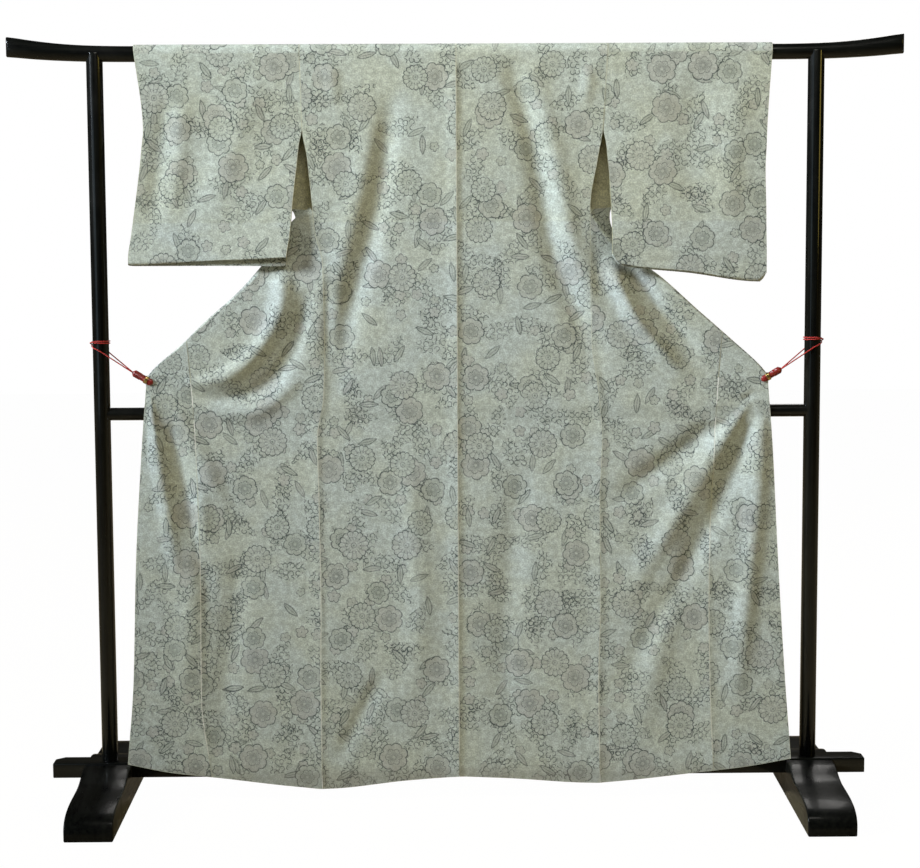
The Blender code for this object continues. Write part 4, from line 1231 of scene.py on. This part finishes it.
def gore(side, label, sign):
    across = np.linspace(0, 1, GORE_COLUMNS)
    turned, base_x, base_z = fold_rows(mix(GORE_SHARE + GORE_CLEAR, 1.0, across), side, sign)
    low_x = mix(foot_x(GORE_SEAM, side), foot_x(FRONT_EDGE, side), across)
    hem = read(HEM, low_x, 1 + side)
    high_x = mix(read(GORE_SEAM, base_z, 1 + side), read(FRONT_EDGE, base_z, 1 + side), across)
    rows = []
    for t in np.linspace(0, 1, LOW_ROWS)[:-1]:
        z = mix(hem, base_z, t)
        x = mix(read(GORE_SEAM, z, 1 + side) + SEAM_GAP / 2, read(FRONT_EDGE, z, 1 + side), across)
        x = sign * (x + (base_x - high_x) * t**3)
        rows.append(row_of(x, near_depth(x, z), z))
    last_plane = len(rows)
    rows.extend(reversed(turned))
    far_x, far_z = sign * read(GORE_FAR_EDGE, across, 1), read(GORE_FAR_EDGE, across, 2)
    end = row_of(far_x, mix(*GORE_FAR_DEPTH, smooth(across)), far_z)
    rows += [mix(turned[0], end, step / GORE_FAR_ROWS) for step in range(1, GORE_FAR_ROWS + 1)]
    grid = np.array(rows)
    heights = 2 * BAR_Z + CREST_ARC - grid[:, :, 2]
    uv = strip_uv(grid, heights, BOLT_SHIFT["gore"][side], lambda row: row < last_plane)
    piece = sheet_object(f"cloth_gore_{label}", grid, uv, (0, -1, 0))


for gore_side in SIDES:
    gore(*gore_side)

# %% [markdown]
# ## Sleeves
# A sleeve is one width of cloth folded over the bar and closed along its bottom, with its outer edge open
# for the hand and its lower inner edge open under the arm. It hangs as a flat tube in front of the turned-
# out front.

# %% Sleeves
SLEEVE_ROWS, SLEEVE_COLUMNS, BOTTOM_ROWS = 84, 48, 8


def sleeve(side, label, sign):
    shares = np.linspace(0, 1, SLEEVE_COLUMNS)

    def layer(near):
        bottom = read(SLEEVE_BOTTOM, shares, 1 + 2 * side + (0 if near else 1))
        rows = []
        for t in np.linspace(0, 1, SLEEVE_ROWS):
            z = mix(np.full(len(shares), BAR_Z), bottom, t)
            x = mix(read(SLEEVE_EDGES, z, 1 + 2 * side), read(SLEEVE_EDGES, z, 2 + 2 * side), shares)
            y = mix(read(SLEEVE_DEPTH, z, 1 if near else 3), read(SLEEVE_DEPTH, z, 2 if near else 4), shares)
            calm = smooth((BAR_Z - z) / 0.05) * (1.0 if near else smooth((1.42 - z) / 0.10))
            y = y - crease_height(sign * x, z, SLEEVE_CREASES) * calm
            rows.append(row_of(sign * x, y, z))
        return rows

    near, far = layer(True), layer(False)
    under = []
    for step in range(1, BOTTOM_ROWS):
        share = step / BOTTOM_ROWS
        back, down = min(2 * share, 1.0), max(2 * share - 1.0, 0.0)
        row = mix(near[-1], far[-1], back)
        row[:, 2] = mix(near[-1][:, 2], far[-1][:, 2], down) - 0.0018 * math.sin(math.pi * back)
        under.append(row)
    over = []
    for angle in crest_angles():
        z = BAR_Z + CREST_HEIGHT * math.sin(angle)
        x = mix(read(SLEEVE_EDGES, z, 1 + 2 * side), read(SLEEVE_EDGES, z, 2 + 2 * side), shares)
        over.append(row_of(sign * x, CREST_DEPTH * math.cos(angle), z))
    grid = np.array(near + under + far[::-1] + over)
    heights = 2 * BAR_Z + CREST_ARC - grid[:, :, 2]
    heights[: len(near)] = grid[: len(near), :, 2]
    for index, angle in enumerate(crest_angles()):
        heights[len(grid) - len(over) + index] = BAR_Z + CREST_ARC * (1 - angle / math.pi)
    near_bands = len(near) + len(under) - 1
    uv = strip_uv(grid, heights, BOLT_SHIFT["sleeve"][side], lambda row: row < near_bands)
    piece = sheet_object(f"cloth_sleeve_{label}", grid, uv, (0, -1, 0), closed=True)


for sleeve_side in SIDES:
    sleeve(*sleeve_side)

# %% [markdown]
# ## Collar
# The collar is a long band, folded double, that runs from one front round the neck to the other. It lies on
# the far side of the bar, flat against the fronts' edges, and tapers a little at its two ends.

# %% Collar
COLLAR_WIDTH, COLLAR_WALL, COLLAR_COLUMNS, COLLAR_TAPER = 0.055, 0.0020, 9, 0.12


def collar():
    half = [Vector(point) for point in NECK_LINE]
    half += [Vector((row[0], row[4], row[1])) for row in FAR_FRONT[1:]]
    for share, x, z in GORE_FAR_EDGE[1:]:
        half.append(Vector((x, mix(*GORE_FAR_DEPTH, float(smooth(share))), z)))
    line = [Vector((-p.x, p.y, p.z)) for p in reversed(half[1:])] + half
    line = soft_line([tuple(point) for point in line], 8)
    run = np.concatenate([[0.0], np.cumsum(np.linalg.norm(np.diff(line, axis=0), axis=1))])
    along = np.gradient(line, axis=0)
    along[:, 1] = 0.0
    along /= np.linalg.norm(along, axis=1, keepdims=True)
    inward = np.stack([along[:, 2], np.zeros(len(line)), -along[:, 0]], axis=1)
    from_end = np.minimum(run, run[-1] - run)
    width = COLLAR_WIDTH * mix(0.55, 1.0, np.clip(from_end / COLLAR_TAPER, 0, 1))
    rows = []
    for share in np.linspace(0, 1, COLLAR_COLUMNS):
        reach = mix(0.0012, width, share)[:, None]
        swell = 0.002 * share + 0.0012 * math.sin(math.pi * share)
        rows.append(line + inward * reach + np.array([0.0, swell, 0.0]))
    grid = np.array(rows).transpose(1, 0, 2)
    across = BOLT_SHIFT["collar"] + np.linspace(0, COLLAR_WIDTH, COLLAR_COLUMNS)
    uv = np.stack(np.broadcast_arrays(across[None, :], run[:, None]), axis=2)

    def uv_for(row):
        return uv[row], uv[row + 1]

    piece = sheet_object("cloth_collar", grid, uv_for, (0, 1, 0), wall=COLLAR_WALL)
    print("collar runs", round(float(run[-1]), 2), "m")


collar()

# %% [markdown]
# ## Lacquer
# The rack is turned and planed wood under black lacquer. Lacquer is a clear hard coat over a dark ground,
# so a coat gives the sharp highlight. Long streaks left by the brush and a little dust keep it from looking
# like plastic, and they run along each piece.

# %% Lacquer material
STREAK_STRETCH = (3.0, 60.0, 60.0)
LACQUER_DARK, LACQUER_WORN = (0.0020, 0.0023, 0.0024), (0.0065, 0.0072, 0.0060)
LACQUER_DUST = (0.09, 0.085, 0.075)
wires, given, result = new_group(
    "handled", {"Place": "Vector", "Scale": "Float"}, {"Dust": "Float", "Streak": "Float"}
)
wires.feed(result["Dust"], wires.ramp(wires.noise(given["Place"], given["Scale"], 5.0, 0.62), 0.45, 0.75))
stretched = wires.node("ShaderNodeVectorMath", operation="MULTIPLY")
wires.feed(stretched.inputs[0], given["Place"])
stretched.inputs[1].default_value = STREAK_STRETCH
wires.feed(result["Streak"], wires.noise(stretched.outputs[0], 2.0, 4.0, 0.6))


def lacquer(name, turned, coat=0.75):
    """The streaks follow X, and turned says how X is turned to a piece's length. coat is the clear coat."""
    material, wires, shader = new_material(
        name, Coat_Weight=coat, Coat_Roughness=0.10, Specular_IOR_Level=0.10
    )
    place = wires.node("ShaderNodeTexCoord").outputs["Object"]
    mapping = wires.node("ShaderNodeMapping", {"Vector": place, "Rotation": turned})
    handled = wires.place("handled", Place=mapping.outputs[0], Scale=9.0)
    dark = wires.colour(wires.ramp(handled["Streak"], 0.35, 0.70), LACQUER_DARK, LACQUER_WORN)
    dusty = wires.colour(wires.times(handled["Dust"], 0.05), dark, LACQUER_DUST)
    wires.feed(shader["Base Color"], dusty)
    rough = wires.plus(wires.times(handled["Streak"], 0.18), wires.times(handled["Dust"], 0.16))
    wires.feed(shader["Roughness"], wires.plus(rough, 0.20))
    bump = wires.node("ShaderNodeBump", {"Strength": 0.12, "Distance": 0.0005, "Height": handled["Streak"]})
    wires.feed(shader["Normal"], bump.outputs["Normal"])
    return material


lacquer_long = lacquer("lacquer_long", (0.0, 0.0, 0.0))
lacquer_up = lacquer("lacquer_up", (0.0, math.pi / 2, 0.0))
lacquer_deep = lacquer("lacquer_deep", (0.0, 0.0, math.pi / 2), coat=0.12)
print("lacquer along X, Z and Y")

# %% [markdown]
# ## The top bar
# The bar is an oval rod whose ends rise and thicken a little. It is drawn out by hand: a circle is squeezed
# to the oval, then extruded from station to station, moved up and scaled at each. The ends get a soft edge.

# %% Top bar
def draw_out(sections, vertices):
    """Extrudes a circle through sections. Columns: x, y, z, half depth, half height."""
    start()
    x, y, z, depth, height = sections[0]
    bpy.ops.mesh.primitive_circle_add(
        vertices=vertices, radius=1.0, fill_type="NGON", location=(x, y, z), rotation=(0, math.pi / 2, 0)
    )
    obj = bpy.context.active_object
    bpy.ops.object.transform_apply(location=True, rotation=True, scale=True)
    bpy.ops.object.mode_set(mode="EDIT")
    bpy.ops.mesh.select_all(action="SELECT")
    bpy.ops.transform.resize(value=(1, depth, height), center_override=(x, y, z))
    for before, after in zip(sections, sections[1:]):
        move = tuple(b - a for a, b in zip(before[:3], after[:3]))
        bpy.ops.mesh.extrude_region_move(TRANSFORM_OT_translate={"value": move})
        grow = (1, after[3] / before[3], after[4] / before[4])
        bpy.ops.transform.resize(value=grow, center_override=after[:3])
    bpy.ops.mesh.select_all(action="SELECT")
    bpy.ops.mesh.normals_make_consistent(inside=False)
    bpy.ops.object.mode_set(mode="OBJECT")
    return obj


def bar_sections():
    places = np.concatenate([np.linspace(0.0, 0.68, 3), np.linspace(0.70, 0.93, 13)])
    places = np.concatenate([-places[:0:-1], places])
    sections = []
    for x in places:
        rise = float(read(TOP_BAR, abs(x), 1))
        sections.append((float(x), 0.0, BAR_Z + rise, BAR_HALF_DEPTH, float(read(TOP_BAR, abs(x), 2))))
    return sections


def lean_ends(obj, end, slant):
    """Leans both end faces, so that their tops reach further out. end holds one end's section."""
    for vert in obj.data.vertices:
        if abs(vert.co.x) > end[0] - 1e-4:
            vert.co.x += math.copysign(slant * (vert.co.z - end[2]) / end[4], vert.co.x)


top_bar = draw_out(bar_sections(), 48)
lean_ends(top_bar, bar_sections()[-1], BAR_END_SLANT)
round_edges(top_bar, 0.0022, 3)
complete(top_bar, "bar_top", lacquer_long, "top_bar")

# %% [markdown]
# ## Posts and rail
# The posts are turned rods whose tops are coped to the bar: a Boolean takes the bar's own shape out of
# each. The middle rail is coped against the posts in the same way.

# %% Posts and rail
def rod(radius, start_at, end_at, vertices=48):
    start()
    start_at, end_at = Vector(start_at), Vector(end_at)
    along = end_at - start_at
    bpy.ops.mesh.primitive_cylinder_add(
        vertices=vertices,
        radius=radius,
        depth=along.length,
        location=(start_at + end_at) / 2,
        rotation=along.to_track_quat("Z", "Y").to_euler(),
    )
    obj = bpy.context.active_object
    bpy.ops.object.transform_apply(location=True, rotation=True, scale=True)
    return obj


def subtract(obj, cutter):
    apply_modifier(obj, "BOOLEAN", operation="DIFFERENCE", object=cutter, solver="EXACT")


posts = []
for _, label, sign in SIDES:
    post = rod(POST_RADIUS, (sign * POST_X, 0, BEAM_TOP), (sign * POST_X, 0, BAR_Z + 0.003))
    round_edges(post, 0.0015, 2)
    subtract(post, top_bar)
    posts.append(complete(post, f"upright_{label}", lacquer_up, f"post_{label}"))

rail = rod(RAIL_RADIUS, (-POST_X, 0, RAIL_Z), (POST_X, 0, RAIL_Z))
for post in posts:
    subtract(rail, post)
complete(rail, "rail", lacquer_long, "middle_rail")

# %% [markdown]
# ## Beam and feet
# The beam is a plank let into the feet. Each foot starts as a block under the post, and its two toes are
# drawn out in short extrusions whose top edge is lowered each time along a smooth curve. A Boolean cuts the
# housing.

# %% Beam and feet
def block(low, high):
    start()
    middle = [(a + b) / 2 for a, b in zip(low, high)]
    bpy.ops.mesh.primitive_cube_add(size=1.0, location=middle, scale=[b - a for a, b in zip(low, high)])
    bpy.ops.object.transform_apply(location=True, rotation=True, scale=True)
    return bpy.context.active_object


def pick(obj, kind, test):
    """In edit mode, selects only the faces, edges or vertices that pass a test."""
    bpy.ops.mesh.select_mode(type={"faces": "FACE", "edges": "EDGE", "verts": "VERT"}[kind])
    bpy.ops.mesh.select_all(action="DESELECT")
    data = bmesh.from_edit_mesh(obj.data)
    for item in getattr(data, kind):
        item.select_set(bool(test(item)))
    data.select_flush_mode()
    bmesh.update_edit_mesh(obj.data)


beam_low = (-BEAM_HALF_LENGTH, -BEAM_HALF_DEPTH, BEAM_BOTTOM)
beam = block(beam_low, (BEAM_HALF_LENGTH, BEAM_HALF_DEPTH, BEAM_TOP))
bpy.ops.object.mode_set(mode="EDIT")
pick(
    beam,
    "edges",
    lambda edge: all(v.co.y > 0 and abs(v.co.x) > 0.5 for v in edge.verts)
    and abs(edge.verts[0].co.z - edge.verts[1].co.z) > 0.01,
)
bpy.ops.mesh.bevel(offset=BEAM_CHAMFER, segments=1)
bpy.ops.object.mode_set(mode="OBJECT")
round_edges(beam, 0.0022, 3, 30)
complete(beam, "beam", lacquer_long, "base_beam")


def draw_toe(foot, direction):
    """Draws out one end of the foot, its top edge following the table."""
    places = np.concatenate([np.linspace(0.058, 0.29, 17), [0.300, 0.309, 0.317, 0.323, 0.327, 0.330]])
    for here, after in zip(places, places[1:]):
        fall = float(read(FOOT_TOP, after, 1) - read(FOOT_TOP, here, 1))
        pick(
            foot,
            "faces",
            lambda face: face.normal.y * direction > 0.9
            and abs(face.calc_center_median().y - direction * here) < 1e-4,
        )
        step = (0, direction * (after - here), 0)
        bpy.ops.mesh.extrude_region_move(TRANSFORM_OT_translate={"value": step})
        pick(foot, "verts", lambda vert: abs(vert.co.y - direction * after) < 1e-5 and vert.co.z > 0.001)
        bpy.ops.transform.translate(value=(0, 0, fall))


for _, label, sign in SIDES:
    low_x, high_x = sign * POST_X - FOOT_WIDTH / 2, sign * POST_X + FOOT_WIDTH / 2
    foot = block((low_x, -FOOT_TOP[0][0], 0.0), (high_x, FOOT_TOP[0][0], FOOT_TOP[0][1]))
    bpy.ops.object.mode_set(mode="EDIT")
    for direction in (-1.0, 1.0):
        draw_toe(foot, direction)
    bpy.ops.object.mode_set(mode="OBJECT")
    round_edges(foot, 0.0030, 3)
    housing = block(
        (low_x - 0.01, -BEAM_HALF_DEPTH - FIT_GAP, BEAM_BOTTOM - FIT_GAP),
        (high_x + 0.01, BEAM_HALF_DEPTH + FIT_GAP, BEAM_TOP + 0.02),
    )
    subtract(foot, housing)
    bpy.data.objects.remove(housing)
    complete(foot, f"base_foot_{label}", lacquer_deep, f"foot_{label}")

# %% [markdown]
# ## Clips
# Each clip is a small ribbed pair of jaws in dark red with a gilt band. The ribs come from extruding one
# outline through stations that swell and shrink. A slot is then cut for the cloth, and the band is a short
# ring cut by the same slot, so that it sits on both jaws.

# %% Clips
PLASTIC_RED, PLASTIC_SCUFFED = (0.26, 0.012, 0.012), (0.40, 0.045, 0.035)
GILT, GILT_TARNISHED = (0.78, 0.56, 0.22), (0.42, 0.27, 0.09)
clip_red, wires, shader = new_material(
    "clip_plastic", Coat_Weight=0.3, Coat_Roughness=0.15, Specular_IOR_Level=0.5
)
place = wires.node("ShaderNodeTexCoord").outputs["Object"]
scuffs = wires.noise(place, 900.0, 3.0)
wires.feed(shader["Base Color"], wires.colour(wires.ramp(scuffs, 0.4, 0.8), PLASTIC_RED, PLASTIC_SCUFFED))
wires.feed(shader["Roughness"], wires.ramp(scuffs, 0.3, 0.8, 0.24, 0.5))

gilt, wires, shader = new_material("gilt_band", Metallic=1.0)
place = wires.node("ShaderNodeTexCoord").outputs["Object"]
tarnish = wires.noise(place, 420.0, 4.0, 0.6)
wires.feed(shader["Base Color"], wires.colour(wires.ramp(tarnish, 0.45, 0.75), GILT, GILT_TARNISHED))
wires.feed(shader["Roughness"], wires.ramp(tarnish, 0.3, 0.75, 0.20, 0.5))

JAW_FACE, JAW_GAP, SLOT_START, RIB_STEP, RIB_DEPTH = 0.0072, 0.0036, 0.019, 0.0026, 0.0008
BAND_START, BAND_END, BAND_WALL = 0.029, 0.036, 0.0009


def clip_sections():
    sections = []
    for x in np.linspace(0.0, CLIP_LENGTH, 64):
        ends = smooth((x + 0.0015) / 0.007) * smooth((CLIP_LENGTH + 0.0012 - x) / 0.008)
        ribbed = x < BAND_START - 0.001
        rib = RIB_DEPTH * (0.5 - 0.5 * math.cos(2 * math.pi * x / RIB_STEP)) * ribbed
        size = 0.35 + 0.65 * float(ends)
        sections.append((float(x), 0.0, 0.0, JAW_FACE * size - rib, CLIP_WIDTH / 2 * size - rib))
    return sections


def slot_cutter():
    return block((SLOT_START, -JAW_GAP, -0.03), (CLIP_LENGTH + 0.01, JAW_GAP, 0.03))


for _, label, sign in SIDES:
    local = clip_frame(label, sign)
    jaws = draw_out(clip_sections(), 24)
    cutter = slot_cutter()
    subtract(jaws, cutter)
    jaws.matrix_world = local
    complete(jaws, f"jaws_{label}", clip_red, f"clip_{label}")
    reach = JAW_FACE + FIT_GAP, CLIP_WIDTH / 2 + FIT_GAP
    band = draw_out([(float(x), 0, 0, *reach) for x in np.linspace(BAND_START, BAND_END, 3)], 40)
    bpy.ops.object.mode_set(mode="EDIT")
    pick(band, "faces", lambda face: abs(face.normal.x) > 0.9)
    bpy.ops.mesh.delete(type="FACE")
    bpy.ops.object.mode_set(mode="OBJECT")
    apply_modifier(band, "SOLIDIFY", thickness=BAND_WALL, offset=1.0)
    subtract(band, cutter)
    bpy.data.objects.remove(cutter)
    round_edges(band, 0.0002, 2)
    band.matrix_world = local
    complete(band, f"band_{label}", gilt, f"clip_{label}_band")

# %% Cord facts
for label, (tie, route, length) in ties.items():
    print(tie.name, "is", round(1000 * CORD_DIAMETER, 1), "mm thick")
